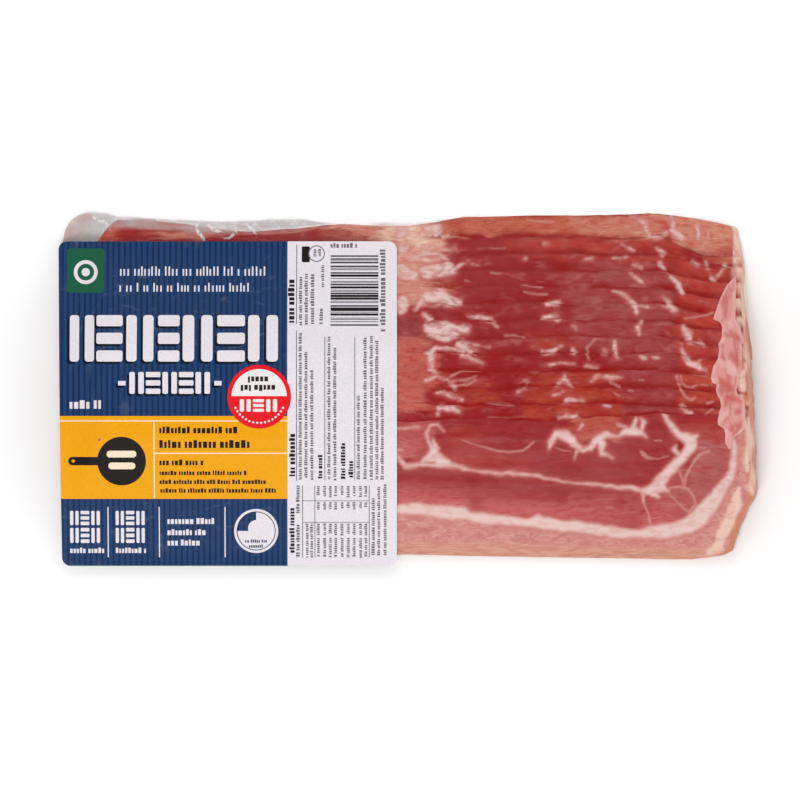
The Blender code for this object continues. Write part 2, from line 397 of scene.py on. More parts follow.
def add_values(piece, name, values):
    """Stores one number for each vertex, for the materials to read."""
    attribute = piece.data.attributes.new(name, "FLOAT", "POINT")
    attribute.data.foreach_set("value", np.ascontiguousarray(values, np.float32).ravel())


def add_vectors(piece, name, vectors):
    """Stores three numbers for each vertex, for the materials to read."""
    attribute = piece.data.attributes.new(name, "FLOAT_VECTOR", "POINT")
    attribute.data.foreach_set("vector", np.ascontiguousarray(vectors, np.float32).ravel())


def grid_faces(index):
    """The quads between the neighbours in a grid of vertex numbers, facing up."""
    corners = (index[1:, :-1], index[1:, 1:], index[:-1, 1:], index[:-1, :-1])
    return np.stack([corner.ravel() for corner in corners], axis=1)


def closed_slab(name, x, y, low, high):
    """A closed piece between two grids of heights over the same plan. Its rim is where they meet."""
    rows, columns = x.shape
    upper = np.arange(rows * columns).reshape(rows, columns)
    lower = upper.copy()
    lower[1:-1, 1:-1] = rows * columns + np.arange((rows - 2) * (columns - 2)).reshape(rows - 2, columns - 2)
    top = np.stack([x.ravel(), y.ravel(), high.ravel()], axis=1)
    inner = (slice(1, -1), slice(1, -1))
    bottom = np.stack([x[inner].ravel(), y[inner].ravel(), low[inner].ravel()], axis=1)
    faces = np.concatenate([grid_faces(upper), grid_faces(lower)[:, ::-1]])
    return new_piece(name, np.concatenate([top, bottom]), faces)


def on_both_faces(upper, lower=None):
    """The values of a closed slab's vertices, from one grid for its top and one for its underside."""
    lower = upper if lower is None else lower
    return np.concatenate([upper.ravel(), lower[1:-1, 1:-1].ravel()])


def neighbour_mean(values):
    """The mean of the four neighbours of each value in a grid."""
    around = np.pad(values, 1, mode="edge")
    return (around[:-2, 1:-1] + around[2:, 1:-1] + around[1:-1, :-2] + around[1:-1, 2:]) / 4


def dress(piece, materials, node):
    """Gives a piece its materials and ties it to the frame."""
    for material in materials:
        piece.data.materials.append(material)
    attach(piece, "root")
    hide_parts(node)


# ---------------------------------------------------------------------------------------------------------
# The marbling: strokes of (x, y, half width) over the plan of the pack
# ---------------------------------------------------------------------------------------------------------

# The band of white fat along the front of a rasher and up its right end.
WHITE_BAND = (
    (-130, -41.0, 1.7), (-60, -41.8, 1.8), (-4.6, -42.9, 1.8), (1.6, -42.6, 2.4), (9.8, -43.8, 2.2),
    (18.0, -44.5, 2.5), (22.1, -45.3, 1.9), (28.3, -46.0, 2.2), (34.4, -47.1, 1.9), (42.6, -47.8, 1.9),
    (46.3, -47.5, 2.7), (50.8, -48.3, 2.2), (57.7, -49.0, 2.2), (70.8, -50.7, 2.2), (75.6, -51.5, 1.9),
    (82.8, -51.9, 1.8), (87.6, -50.9, 2.6), (94.8, -50.3, 2.8), (100.0, -48.9, 3.3), (103.9, -46.2, 3.5),
    (107.2, -42.0, 3.1), (110.6, -37.5, 2.5), (113.9, -32.7, 2.0), (115.6, -29.0, 1.5), (116.1, -24.0, 1.3),
    (116.1, -20.7, 1.3), (115.9, -17.6, 0.6),
)
WHITE_BAND_TURN = 17

# Where the rind begins, in front of that band: (x, y).
RIND_LINE = ((-120, -54.0), (27, -54.4), (54, -55.8), (110, -57.0))

# The other thick fat of the top rasher.
TOP_RASHER_FAT = (
    # the thin seam between the two muscles, from the left end to the junction on the right
    (
        (-130, -26, 0.5), (-60, -24, 0.6), (-4.8, -23.4, 0.9), (-1.3, -27.3, 0.9), (3.8, -27.0, 0.8),
        (11.3, -27.2, 0.9), (16.0, -27.1, 0.9), (22.1, -28.6, 0.5), (29.5, -30.2, 0.5), (38.5, -30.2, 0.65),
        (47.0, -31.1, 0.55), (55.7, -33.2, 0.4), (61.5, -33.8, 0.45), (67.4, -34.1, 0.65),
        (77.9, -35.3, 0.9), (82.5, -36.1, 1.0),
    ),
    # the hook and the wedge on the left
    (
        (12.6, -15.0, 0.2), (10.4, -12.9, 0.4), (7.7, -12.9, 0.6), (6.4, -15.6, 0.6), (7.2, -18.7, 0.6),
        (9.0, -22.3, 1.1), (11.3, -25.4, 2.3), (14.4, -26.8, 1.2),
    ),
    ((8.7, -17.4, 0.3), (9.6, -21.4, 1.6), (8.4, -24.3, 2.0), (4.6, -26.4, 0.8)),
    ((-4.8, -13.8, 0.35), (-1.3, -14.3, 0.45), (3.7, -13.4, 0.35)),
    ((-4.8, -21.3, 0.3), (-2.1, -21.9, 0.2)),
    # the curls in the middle
    (
        (50.1, -21.3, 0.35), (50.8, -18.8, 1.1), (52.9, -16.3, 1.6), (55.7, -16.5, 1.9), (58.2, -18.4, 1.7),
        (60.1, -20.7, 1.2), (62.6, -21.8, 0.8), (64.8, -21.0, 0.9), (66.6, -18.9, 1.5), (68.4, -17.4, 1.8),
        (70.3, -16.3, 1.2), (72.5, -16.7, 0.7), (75.0, -17.0, 0.5), (77.6, -15.1, 1.5), (80.5, -14.8, 1.7),
        (82.7, -15.6, 1.1), (84.9, -17.2, 0.35),
    ),
    ((80.0, -13.5, 1.1), (81.1, -11.0, 0.8)),
    ((83.2, -14.0, 0.8), (83.8, -11.9, 1.0), (83.1, -10.8, 0.6)),
    ((78.0, -13.8, 0.7), (74.4, -12.8, 0.25)),
    ((68.8, -19.5, 1.7), (68.8, -22.6, 0.8), (71.0, -23.0, 0.35), (72.9, -24.8, 0.2)),
    ((60.1, -22.2, 0.5), (59.3, -24.6, 0.15)),
    ((61.9, -12.6, 0.4), (60.9, -14.5, 0.35)),
    # the forked seam on the right
    (
        (91.1, -8.9, 0.6), (92.6, -11.6, 1.0), (94.6, -14.5, 1.3), (97.1, -16.7, 1.5), (100.7, -18.2, 2.3),
        (100.7, -20.3, 2.2), (98.9, -23.2, 1.9), (96.7, -25.6, 1.9), (94.6, -27.8, 1.9), (92.4, -29.8, 2.0),
        (90.5, -32.0, 2.3), (88.9, -34.9, 2.5), (86.3, -36.2, 1.7), (83.4, -36.3, 1.1),
    ),
    ((100.7, -17.6, 1.8), (102.6, -16.8, 0.8)),
    ((95.3, -20.2, 0.4), (94.7, -21.2, 0.9), (95.4, -22.4, 0.9), (97.0, -23.6, 0.7)),
    ((90.7, -35.6, 1.6), (92.1, -36.3, 0.9)),
    ((87.4, -37.6, 1.3), (89.2, -38.7, 0.7)),
    ((83.8, -37.4, 0.8), (83.9, -40.3, 0.25)),
)

# Thin pale lines in the top rasher.
VEINS = (
    (
        (19.3, -18.3, 0.12), (24.6, -20.1, 0.2), (28.2, -21.0, 0.35), (31.8, -22.1, 0.35),
        (36.2, -22.5, 0.27), (40.7, -21.9, 0.3), (42.9, -20.5, 0.35), (44.7, -18.8, 0.25),
    ),
    ((83.8, -39.6, 0.3), (84.5, -42.0, 0.25), (85.8, -44.6, 0.27), (86.4, -47.8, 0.45)),
    ((52.6, -20.9, 0.15), (55.0, -21.9, 0.2), (57.8, -22.2, 0.15)),
    ((82.9, -22.2, 0.4), (84.0, -23.4, 0.8), (85.6, -24.6, 0.5), (89.0, -24.9, 0.15), (92.6, -23.9, 0.15)),
    ((87.8, -18.4, 0.2), (90.2, -18.4, 0.2)),
    ((103.6, -20.9, 0.2), (106.0, -20.9, 0.2)),
    (
        (92.7, -36.9, 0.2), (93.5, -35.1, 0.3), (96.7, -34.9, 0.35), (99.7, -35.6, 0.35),
        (101.8, -38.2, 0.35), (102.6, -40.9, 0.3), (100.4, -43.8, 0.3), (98.6, -42.9, 0.25),
        (95.6, -40.0, 0.2), (92.7, -36.9, 0.2),
    ),
    ((96.7, -29.6, 0.35), (98.2, -33.5, 0.35), (98.6, -35.0, 0.3)),
    (
        (98.6, -34.2, 0.35), (98.9, -31.3, 0.4), (100.4, -28.4, 0.4), (101.9, -25.8, 0.4),
        (104.0, -23.2, 0.4),
    ),
    ((104.0, -23.2, 0.4), (107.1, -22.2, 0.5)),
)

# Fat in the strips that show behind the top rasher.
STRIP_FAT = (
    # lumps beside the label, from back to front
    ((6.3, 58.0, 1.2), (10.6, 57.0, 1.9), (9.6, 55.6, 1.4)),
    ((-2.5, 58.0, 1.0), (-1.5, 56.6, 0.9), (-3.5, 54.8, 1.2)),
    ((11.6, 54.2, 0.5), (14.0, 54.6, 0.6)),
    ((-2.3, 50.0, 1.6), (-0.8, 51.6, 1.0)),
    ((5.8, 51.0, 0.6), (8.8, 50.8, 0.7)),
    ((12.2, 50.0, 0.8), (16.6, 50.4, 0.5)),
    ((-0.5, 46.3, 0.5), (5.7, 49.1, 0.9), (11.0, 48.3, 0.9), (15.1, 45.9, 0.5)),
    ((-3.5, 42.4, 2.6), (1.4, 40.2, 2.2)),
    ((5.9, 42.0, 2.5), (14.8, 42.7, 2.6)),
    ((16.8, 43.0, 0.5), (21.1, 45.0, 0.4), (24.2, 44.6, 0.2)),
    ((2.3, 28.6, 0.8), (5.9, 33.0, 1.8), (11.3, 33.5, 2.6), (17.5, 30.8, 2.2)),
    ((-2.1, 30.8, 2.6), (-2.3, 28.4, 1.8)),
    ((8.1, 21.0, 2.4), (13.9, 20.6, 3.1), (20.2, 21.3, 2.0)),
    ((5.2, 26.5, 0.9), (7.6, 24.8, 1.2)),
    ((18.0, 16.0, 1.2), (22.9, 13.4, 1.1)),
    ((19.3, 11.6, 0.8), (26.4, 9.1, 0.5)),
    (
        (19.3, 13.4, 0.7), (14.8, 14.7, 0.8), (9.9, 15.2, 0.9), (7.7, 11.6, 1.6), (8.1, 8.0, 1.4),
        (9.9, 5.8, 0.7),
    ),
    ((6.3, 3.1, 0.4), (9.9, 4.5, 0.45), (13.9, 3.7, 0.45), (16.4, 1.1, 0.5)),
    ((10.4, -1.8, 0.5), (14.4, -1.6, 0.8), (18.8, -3.7, 0.5)),
    ((10.8, -9.4, 0.4), (11.7, -7.0, 0.7), (15.3, -7.3, 0.9), (17.9, -8.5, 0.35)),
    ((22.0, 25.6, 0.6), (26.0, 25.3, 0.9), (29.0, 24.6, 0.5), (31.8, 22.3, 0.15)),
    # flecks in the middle
    ((49.6, 30.5, 0.7), (53.7, 30.6, 1.0)),
    ((48.3, 25.8, 0.7), (52.8, 25.6, 1.0), (54.0, 25.8, 0.5)),
    ((47.9, 13.4, 0.5), (51.4, 13.8, 0.8), (54.1, 14.7, 0.3)),
    ((58.4, 13.6, 0.7), (59.6, 12.8, 0.6)),
    ((47.9, 8.0, 0.0), (55.0, 9.6, 0.4), (59.5, 8.8, 0.1)),
    ((53.2, 1.8, 0.3), (55.9, 3.6, 0.8), (58.6, 1.3, 0.2)),
    ((51.4, -1.8, 0.4), (55.0, -0.7, 0.5)),
    ((55.9, -4.0, 0.6), (61.7, -4.0, 0.5)),
    ((54.3, -10.4, 0.4), (56.6, -9.5, 0.7), (59.7, -9.7, 0.9), (61.3, -10.6, 0.4)),
    ((59.2, -9.9, 0.7), (58.0, -11.3, 0.4)),
    ((63.5, 46.6, 0.4), (65.0, 46.7, 0.5)),
    ((73.3, 46.9, 0.4), (77.8, 46.9, 0.5)),
    # slanting flecks on the right
    ((90.7, 45.1, 0.9), (92.1, 42.9, 0.7)),
    ((93.4, 40.8, 0.4), (95.6, 38.0, 0.9), (97.6, 34.9, 1.1)),
    ((78.7, 41.8, 0.4), (82.0, 39.6, 0.6), (83.9, 37.8, 0.5)),
    ((73.1, 35.2, 0.3), (76.1, 34.7, 0.9), (78.6, 32.9, 0.8), (80.6, 30.4, 1.1), (81.6, 27.4, 0.8)),
    ((82.7, 29.4, 0.3), (86.0, 29.4, 0.45)),
    ((90.3, 33.0, 0.4), (92.2, 31.0, 1.0), (94.4, 28.0, 0.9)),
    ((73.5, 17.0, 0.7), (73.5, 14.3, 1.1), (74.6, 11.6, 0.4)),
    ((84.0, 24.6, 0.5), (81.9, 22.4, 1.0), (82.4, 19.6, 0.7)),
    ((83.0, 11.4, 0.8), (84.2, 11.0, 0.8)),
    ((87.0, 11.6, 0.4), (88.6, 11.2, 0.5)),
    ((97.9, 23.0, 0.6), (99.4, 19.6, 1.0), (100.0, 17.6, 0.7)),
    ((100.5, 16.4, 0.4), (105.4, 16.1, 0.45)),
    (
        (97.7, 14.8, 0.5), (98.7, 11.6, 1.0), (100.4, 9.2, 1.2), (102.6, 8.4, 1.4), (104.3, 6.7, 1.0),
        (106.8, 5.8, 0.6),
    ),
    ((103.2, 8.6, 1.0), (104.4, 9.8, 0.5)),
    ((95.6, 4.5, 0.35), (97.4, -0.4, 0.4)),
    ((97.4, -5.8, 0.6), (98.8, -8.0, 1.0), (100.6, -8.8, 0.9)),
    ((108.4, 40.2, 0.7), (109.6, 39.4, 0.6)),
    ((106.4, 46.0, 0.4), (107.0, 43.4, 0.4)),
    ((77.0, 51.5, 0.5), (80.5, 49.2, 0.4)),
    ((88.5, 50.6, 0.5), (91.2, 48.2, 0.7)),
    ((111.0, 41.4, 0.5), (113.2, 44.2, 0.7)),
    ((80.2, 44.2, 0.4), (83.8, 43.6, 0.5)),
    ((101.6, 45.6, 0.2), (104.0, 44.0, 0.4)),
    ((58.6, 22.3, 0.4), (60.2, 20.7, 0.4)),
    ((63.5, 8.5, 0.4), (67.0, 7.6, 0.6)),
    ((65.5, 2.6, 0.3), (68.0, 4.4, 0.6), (75.6, 3.6, 0.5)),
    ((69.7, -6.4, 0.5), (71.5, -7.0, 0.4)),
    ((69.5, 13.8, 0.5), (70.5, 13.2, 0.4)),
    ((48.2, 51.9, 0.4), (49.5, 52.0, 0.3)),
    ((40.6, 46.9, 0.4), (41.0, 46.6, 0.4)),
    ((20.0, 16.3, 0.6), (25.5, 13.0, 0.3)),
    ((19.0, 17.0, 0.5), (28.5, 15.4, 0.2)),
    ((40.0, 2.4, 0.3), (42.5, 2.8, 0.4)),
    ((39.0, -0.6, 0.3), (42.0, 0.3, 0.4)),
    # the round muscle in the first rasher
    (
        (80.6, 62.0, 0.4), (84.2, 59.5, 0.7), (84.9, 57.0, 0.7), (86.2, 55.0, 0.9), (89.2, 54.8, 0.7),
        (92.2, 56.0, 0.9),
    ),
    ((93.7, 61.5, 0.4), (94.4, 59.6, 0.6), (93.7, 57.0, 1.2), (96.7, 54.6, 1.4), (99.2, 52.6, 0.7)),
    ((103.6, 59.6, 0.4), (103.8, 56.0, 0.6), (102.4, 53.6, 0.4)),
    ((107.2, 58.0, 0.2), (106.8, 54.6, 0.4)),
)

# Thin pale lines in the strips.
STRIP_VEINS = (
    ((29.5, 50.6, 0.12), (34.2, 50.1, 0.2)),
    ((29.8, 41.9, 0.25), (32.6, 41.6, 0.15)),
    ((39.5, 36.9, 0.15), (47.4, 36.2, 0.3)),
    ((41.4, 34.3, 0.2), (49.5, 33.6, 0.3)),
    ((42.9, 61.0, 0.12), (48.0, 60.4, 0.3), (52.2, 59.9, 0.25)),
    ((20.0, 38.6, 0.3), (22.0, 38.2, 0.15)),
    ((15.0, 4.8, 0.3), (18.5, 6.1, 0.3), (26.0, 5.9, 0.15)),
    ((15.5, 3.2, 0.25), (20.0, 3.0, 0.25), (24.0, 4.2, 0.15)),
    ((16.5, 1.4, 0.25), (21.0, 1.2, 0.35), (23.5, 2.8, 0.15)),
    ((27.8, -4.9, 0.0), (33.0, -5.2, 0.1), (38.1, -5.7, 0.0)),
    ((28.7, -9.8, 0.0), (34.0, -10.0, 0.1), (41.8, -10.2, 0.0)),
    ((34.5, 19.2, 0.2), (38.0, 19.4, 0.25), (41.0, 18.6, 0.15)),
    ((66.5, 18.5, 0.2), (63.0, 14.5, 0.3), (64.3, 11.0, 0.3)),
    ((72.0, 2.5, 0.25), (75.6, 1.0, 0.3)),
    ((73.6, -1.3, 0.3), (74.8, -2.0, 0.3)),
    ((78.5, -0.3, 0.3), (80.0, -0.5, 0.3)),
    ((83.0, 2.8, 0.3), (84.5, 2.7, 0.3)),
    ((97.0, 4.6, 0.3), (97.6, 2.6, 0.3), (99.2, 1.0, 0.35), (101.4, 0.5, 0.35), (103.4, 1.2, 0.25)),
    ((104.8, 1.2, 0.25), (107.2, 0.9, 0.25)),
    ((98.4, 25.4, 0.2), (103.0, 26.0, 0.3), (108.7, 27.3, 0.35)),
    ((97.3, -0.2, 0.35), (98.6, -3.0, 0.4), (100.4, -4.1, 0.4), (101.8, -2.9, 0.3)),
    ((106.0, -4.6, 0.35), (108.2, -3.8, 0.35)),
    ((106.0, -9.6, 0.3), (108.2, -7.4, 0.3)),
)

# Cream stripes of fat along the right ends, over the pack.
END_STRIPES = (
    ((115.9, 60.0, 0.5), (117.3, 55.0, 1.4), (118.2, 48.0, 1.9), (118.8, 43.0, 1.8), (119.4, 38.5, 1.4)),
    ((119.4, 38.5, 1.4), (119.4, 34.5, 1.4), (119.2, 30.0, 2.0), (119.4, 26.0, 1.6), (119.0, 22.5, 0.8)),
    ((119.3, 20.0, 0.2), (119.4, 16.5, 0.3)),
    (
        (120.5, 15.2, 0.6), (120.5, 11.0, 1.2), (120.5, 7.5, 0.9), (119.6, 5.4, 1.1), (118.7, 2.0, 1.3),
        (119.0, -2.6, 0.5),
    ),
    ((121.7, -5.0, 0.4), (122.2, -5.6, 0.4)),
    (
        (120.4, -9.8, 0.3), (121.5, -13.4, 1.0), (122.2, -16.3, 1.2), (122.1, -19.2, 1.3),
        (121.0, -22.9, 1.3),
    ),
    ((121.0, -22.9, 1.3), (120.3, -26.2, 0.9), (120.8, -29.1, 0.4)),
    (
        (122.8, -27.3, 0.4), (123.0, -30.5, 1.2), (123.1, -32.7, 1.0), (122.6, -34.5, 1.1),
        (123.0, -37.5, 0.6),
    ),
    (
        (118.8, -35.6, 0.5), (117.0, -40.0, 1.6), (115.3, -43.7, 2.0), (113.5, -48.0, 2.1),
        (112.1, -52.4, 2.1),
    ),
    ((112.1, -52.4, 2.1), (111.0, -56.2, 2.0), (107.3, -58.4, 1.0)),
)

# A pale fold of fat hangs over the right ends of the middle rashers.
FOLD_THICKNESS = 0.5
FOLD_ROWS = 150
FOLD_COLUMNS = 26
FOLD_LIFT = 0.02
FOLD_SMOOTHING_PASSES = 4

# Where it lies, from back to front: (y, left x, right x).
FOLD = (
    (39.9, 116.3, 117.0), (37.4, 113.7, 117.1), (33.4, 111.7, 117.1), (29.4, 110.2, 117.0),
    (26.4, 109.2, 116.8), (25.0, 108.9, 116.6), (24.2, 111.3, 117.4), (22.4, 111.8, 118.3),
    (19.1, 111.8, 118.8), (16.1, 110.5, 118.8), (14.1, 110.8, 118.8), (11.4, 110.5, 119.0),
    (8.4, 108.8, 119.0), (5.9, 108.1, 118.3), (3.8, 107.8, 117.8), (2.0, 108.1, 117.5), (1.4, 109.8, 117.3),
    (-0.7, 109.5, 116.9), (-2.4, 110.2, 117.6), (-3.6, 111.0, 119.6), (-6.4, 111.5, 120.2),
    (-8.0, 110.8, 120.2), (-10.5, 110.2, 119.8), (-12.5, 110.4, 119.9), (-14.1, 112.4, 119.6),
    (-16.0, 112.8, 117.6), (-17.5, 112.9, 115.8), (-19.2, 113.1, 115.3), (-21.1, 114.2, 114.9),
)

# The tones of the meat.
LEAN = rgb(148, 32, 36)
# The dark red in the creases between rashers, partly meat juice and partly painted shade, and in the painted
# gap of the top rasher.
JUICE_AND_SHADE_RED = rgb(140, 10, 8)
DARK_RED = rgb(152, 32, 28)
TAN = rgb(188, 98, 78)
TAN_PINK = rgb(198, 122, 104)
WARM_TAN = rgb(182, 86, 72)
TAN_PALE = rgb(202, 130, 108)
BASE_CREAM = rgb(206, 140, 122)
BACK_CREAM = rgb(224, 184, 156)
PALE_CREAM = rgb(224, 178, 160)
MAUVE = rgb(150, 66, 68)
GREY_MAUVE = rgb(184, 118, 108)
PURPLE = rgb(160, 70, 71)
SALMON = rgb(193, 98, 86)
ORANGE = rgb(170, 60, 43)
RED = rgb(179, 63, 51)
TOP_LEAN = rgb(151, 44, 47)
TOP_PALE = rgb(181, 88, 86)
TOP_GREY = rgb(174, 90, 88)
TOP_RED = rgb(165, 50, 46)
TOP_GLOW = rgb(187, 90, 89)

# Soft patches of another tone in the strips that show behind the top rasher:
# (colour, strength, left, right, front, back, how broken up).
STRIP_TONES = (
    (BASE_CREAM, 1.0, -30, 12, 29, 62, 0.15),
    (MAUVE, 0.9, -140, 5, 20, 27, 0.3),
    (SALMON, 1.0, -140, 9, -8, 19.5, 0.3),
    (TAN, 0.7, 8, 16, 34, 39, 0.3),
    (ORANGE, 0.8, 19, 30, -7, 3, 0.5),
    (PURPLE, 0.9, 57, 95, 12, 46, 0.5),
    (PURPLE, 0.8, 72, 96, -10, 12, 0.4),
    (ORANGE, 0.9, 44, 76, -12, 5, 0.4),
    (ORANGE, 0.8, 44, 60, 14, 19.5, 0.5),
    (RED, 1.0, 97, 130, -14, 48, 0.35),
    (TAN, 0.25, 97, 130, -14, 8, 0.4),
    (RED, 0.8, 36, 103, 46.5, 55.0, 0.5),
    (TAN, 1.0, 11, 130, 54.6, 70, 0.1),
    (TAN_PINK, 0.9, 60, 130, 54.0, 70, 0.2),
    (TAN_PALE, 1.0, 84, 130, 54.4, 70, 0.1),
    (RED, 0.8, 86, 93, 55.5, 59.5, 0.1),
    (TAN, 0.8, 108, 130, 51, 56, 0.3),
    (BACK_CREAM, 1.0, -8, 12, 52.5, 70, 0.15),
    (GREY_MAUVE, 0.9, -140, -33, 57.0, 70, 0.25),
    (DARK_RED, 0.9, -109, -79, 45, 57.2, 0.2),
    (TAN_PINK, 0.9, -91, -66, 54.0, 56.4, 0.3),
    (TAN, 0.9, -140, -104, 48, 62, 0.2),
    (DARK_RED, 0.9, -38, -14, 45, 58, 0.3),
    (TAN_PINK, 0.9, -19, -7, 54, 70, 0.3),
    (PALE_CREAM, 0.9, -8, 11, 45.5, 62, 0.35),
)

# The same in the top rasher.
TOP_TONES = (
    (TOP_LEAN, 1.0, -140, 140, -80, 0, 0.2),
    (TOP_PALE, 1.0, -140, 7, -26, -8, 0.2),
    (TOP_RED, 0.9, 12, 26, -27, -14, 0.4),
    (TOP_RED, 0.7, 24, 46, -30, -22, 0.6),
    (TOP_PALE, 0.7, 90, 104, -50, -28, 0.4),
    (TOP_PALE, 0.6, 54, 97, -49, -37, 0.4),
    (TOP_GREY, 0.9, 99, 130, -45, -12, 0.2),
    (TOP_RED, 0.8, 95, 113, -19, -10, 0.4),
    (WARM_TAN, 0.95, 57, 75, -18.5, -8, 0.15),
)

# How far apart two rashers lie in the grain of the meat, so that no two look the same.
GRAIN_SHIFT = 9.0

# The top rasher's lean glows paler as far as this behind its white band, and left of this x.
GLOW_REACH = 12.0
GLOW_RIGHT = 100.0

# The dark lines of painted shade and juice red along the strips' creases begin near this x and grow to their
# full strength over this length.
SEAM_SHADE_START = 6.0
SEAM_SHADE_GROWTH = 12.0

# A gap beside the forked seam of the top rasher, painted in as a patch of dark shade: x, y and its half
# height.
GAP_SHADE = (97.2, -20.4, 3.0)

# Creases and curls in the slack film at the back of the label: raised a little, with a painted white
# highlight along them.
FILM_CREASES = (
    ((-75.3, 59.3, 0.2), (-75.7, 57.6, 0.6), (-74.6, 55.6, 0.7), (-72.9, 53.4, 0.4)),
    ((-71.8, 59.0, 0.3), (-70.0, 57.4, 0.7), (-66.5, 56.0, 0.3)),
    ((-62.6, 58.6, 0.2), (-61.4, 56.4, 0.4), (-63.9, 54.2, 0.4), (-67.5, 53.4, 0.2)),
    ((-58.4, 59.2, 0.5), (-55.4, 56.8, 0.6), (-54.0, 54.4, 0.3)),
    ((-55.4, 59.4, 0.5), (-52.2, 57.0, 0.4)),
    ((-50.0, 60.0, 0.4), (-36.0, 58.9, 0.2)),
    ((-113, 61.6, 0.4), (-108, 59.4, 0.5), (-106.6, 56.8, 0.3)),
)

# Where the film hangs a little loose over the meat and looks milky.
FILM_VEILS = (((-107.0, 59.6, 1.5), (-92.0, 59.2, 1.7), (-78.0, 57.6, 1.3), (-62.0, 56.2, 0.8)),)
VEIL_STRENGTH = 0.7

# Painted shade in the fold's hollows, as deeper pink, and painted highlights along its ridges, as paler
# pink.
FOLD_HOLLOW_SHADES = (
    ((115.2, 20.2, 0.4), (117.8, 18.2, 0.5)),
    ((115.0, 12.4, 0.6), (118.4, 9.4, 1.0)),
    ((111.6, 2.8, 0.8), (114.4, 0.4, 1.1)),
    ((114.0, -2.8, 0.4), (119.0, -4.2, 0.7)),
    ((117.2, -8.1, 0.5), (117.9, -8.1, 0.5)),
    ((112.4, -11.3, 0.25), (113.4, -10.1, 0.3)),
    ((114.5, -14.5, 0.4), (117.0, -13.0, 0.6)),
)
# The painted highlights along the fold's ridges.
FOLD_RIDGE_HIGHLIGHTS = (
    ((111.6, 16.4, 0.3), (113.0, 18.0, 0.5)),
    ((110.6, 10.0, 0.8), (113.5, 8.6, 1.6), (116.0, 6.0, 1.2)),
    ((108.8, 3.4, 0.4), (110.2, 2.8, 0.4)),
    ((111.0, -8.8, 0.5), (113.6, -8.2, 0.7), (111.2, -11.2, 0.5)),
    ((114.6, 23.8, 0.8), (115.4, 22.6, 0.7)),
)


def stroke_depth(strokes, x, y):
    """How deep each point lies inside the nearest stroke, in millimetres. Outside them it is negative."""
    depth = np.full(np.broadcast(x, y).shape, -20.0)
    for stroke in strokes:
        for (x1, y1, half1), (x2, y2, half2) in zip(stroke, stroke[1:]):
            dx, dy = x2 - x1, y2 - y1
            share = np.clip(((x - x1) * dx + (y - y1) * dy) / (dx * dx + dy * dy), 0, 1)
            distance = np.hypot(x - x1 - share * dx, y - y1 - share * dy)
            np.maximum(depth, half1 + share * (half2 - half1) - distance, out=depth)
    return depth


def toned(colour, tones, x, y, seed):
    """Lays soft patches of tone over a colour for each point. Noise bends and breaks their edges."""
    bent_x = x + 4.0 * smooth_noise(x, y * 1.8, 9.0, seed) + 2.5 * smooth_noise(x, y * 2.5, 3.5, seed + 4)
    bent_y = y + 1.2 * smooth_noise(x, y, 5.0, seed + 1)
    blotches = 0.5 + 0.7 * smooth_noise(x, y * 2.2, 7.0, seed + 2)
    blotches = blotches + 0.5 * smooth_noise(x, y * 2.5, 2.6, seed + 3)
    for tone, strength, left, right, front, back, broken in tones:
        share = ramp((bent_x - left) / 7 + 0.5) * ramp((right - bent_x) / 7 + 0.5)
        share *= ramp((bent_y - front) / 1.2 + 0.5) * ramp((back - bent_y) / 1.2 + 0.5)
        share *= strength * (1 - broken * (1 - ramp(blotches)))
        colour = colour + share[..., None] * (np.array(tone) - colour)
    return colour


def seam_juice_and_shade(rasher, x, y):
    """How much painted shade and juice red darken a strip along the line where the next rasher begins: 0 to
    1, in irregular blots.
    """
    own = np.abs(back_edge(rasher, x) - y)
    foot = np.abs(y - back_edge(rasher + 1, x))
    dashes = ramp(0.85 + 0.9 * smooth_noise(x, 11.0 * rasher, 7.0, 55) + 0.3 * smooth_noise(x, y, 2.0, 56))
    edge_dashes = ramp(0.55 + 1.0 * smooth_noise(x, 11.0 * rasher - 11.0, 8.0, 55))
    reach = 0.8 + 1.5 * ramp(0.35 + 0.8 * smooth_noise(x, 5.0 * rasher, 6.0, 57))
    return np.maximum(dashes * np.exp(-((foot / reach) ** 2)), edge_dashes * np.exp(-((own / 0.9) ** 2)))


def top_tone(rasher, x, y, top_x, top_y, band_y):
    """The colour of the top rasher's lean, which glows paler behind the white band."""
    plain = np.broadcast_to(LEAN, x.shape + (3,))
    colour = toned(plain, TOP_TONES, top_x, top_y, 100 + 10 * rasher)
    glow = ramp((band_y + GLOW_REACH - top_y) / 9) * ramp((GLOW_RIGHT - top_x) / 10)
    glow = glow * ramp(0.8 + 0.5 * smooth_noise(x, y, 8.0, 54))
    return colour + glow[..., None] * (np.array(TOP_GLOW) - colour)


def strip_tone(rasher, x, y):
    """The colour of the lean in the strip that a rasher shows behind the next one."""
    plain = np.broadcast_to(LEAN, x.shape + (3,))
    return toned(plain, STRIP_TONES, x, straight_y(rasher, x, y), 100 + 10 * rasher)


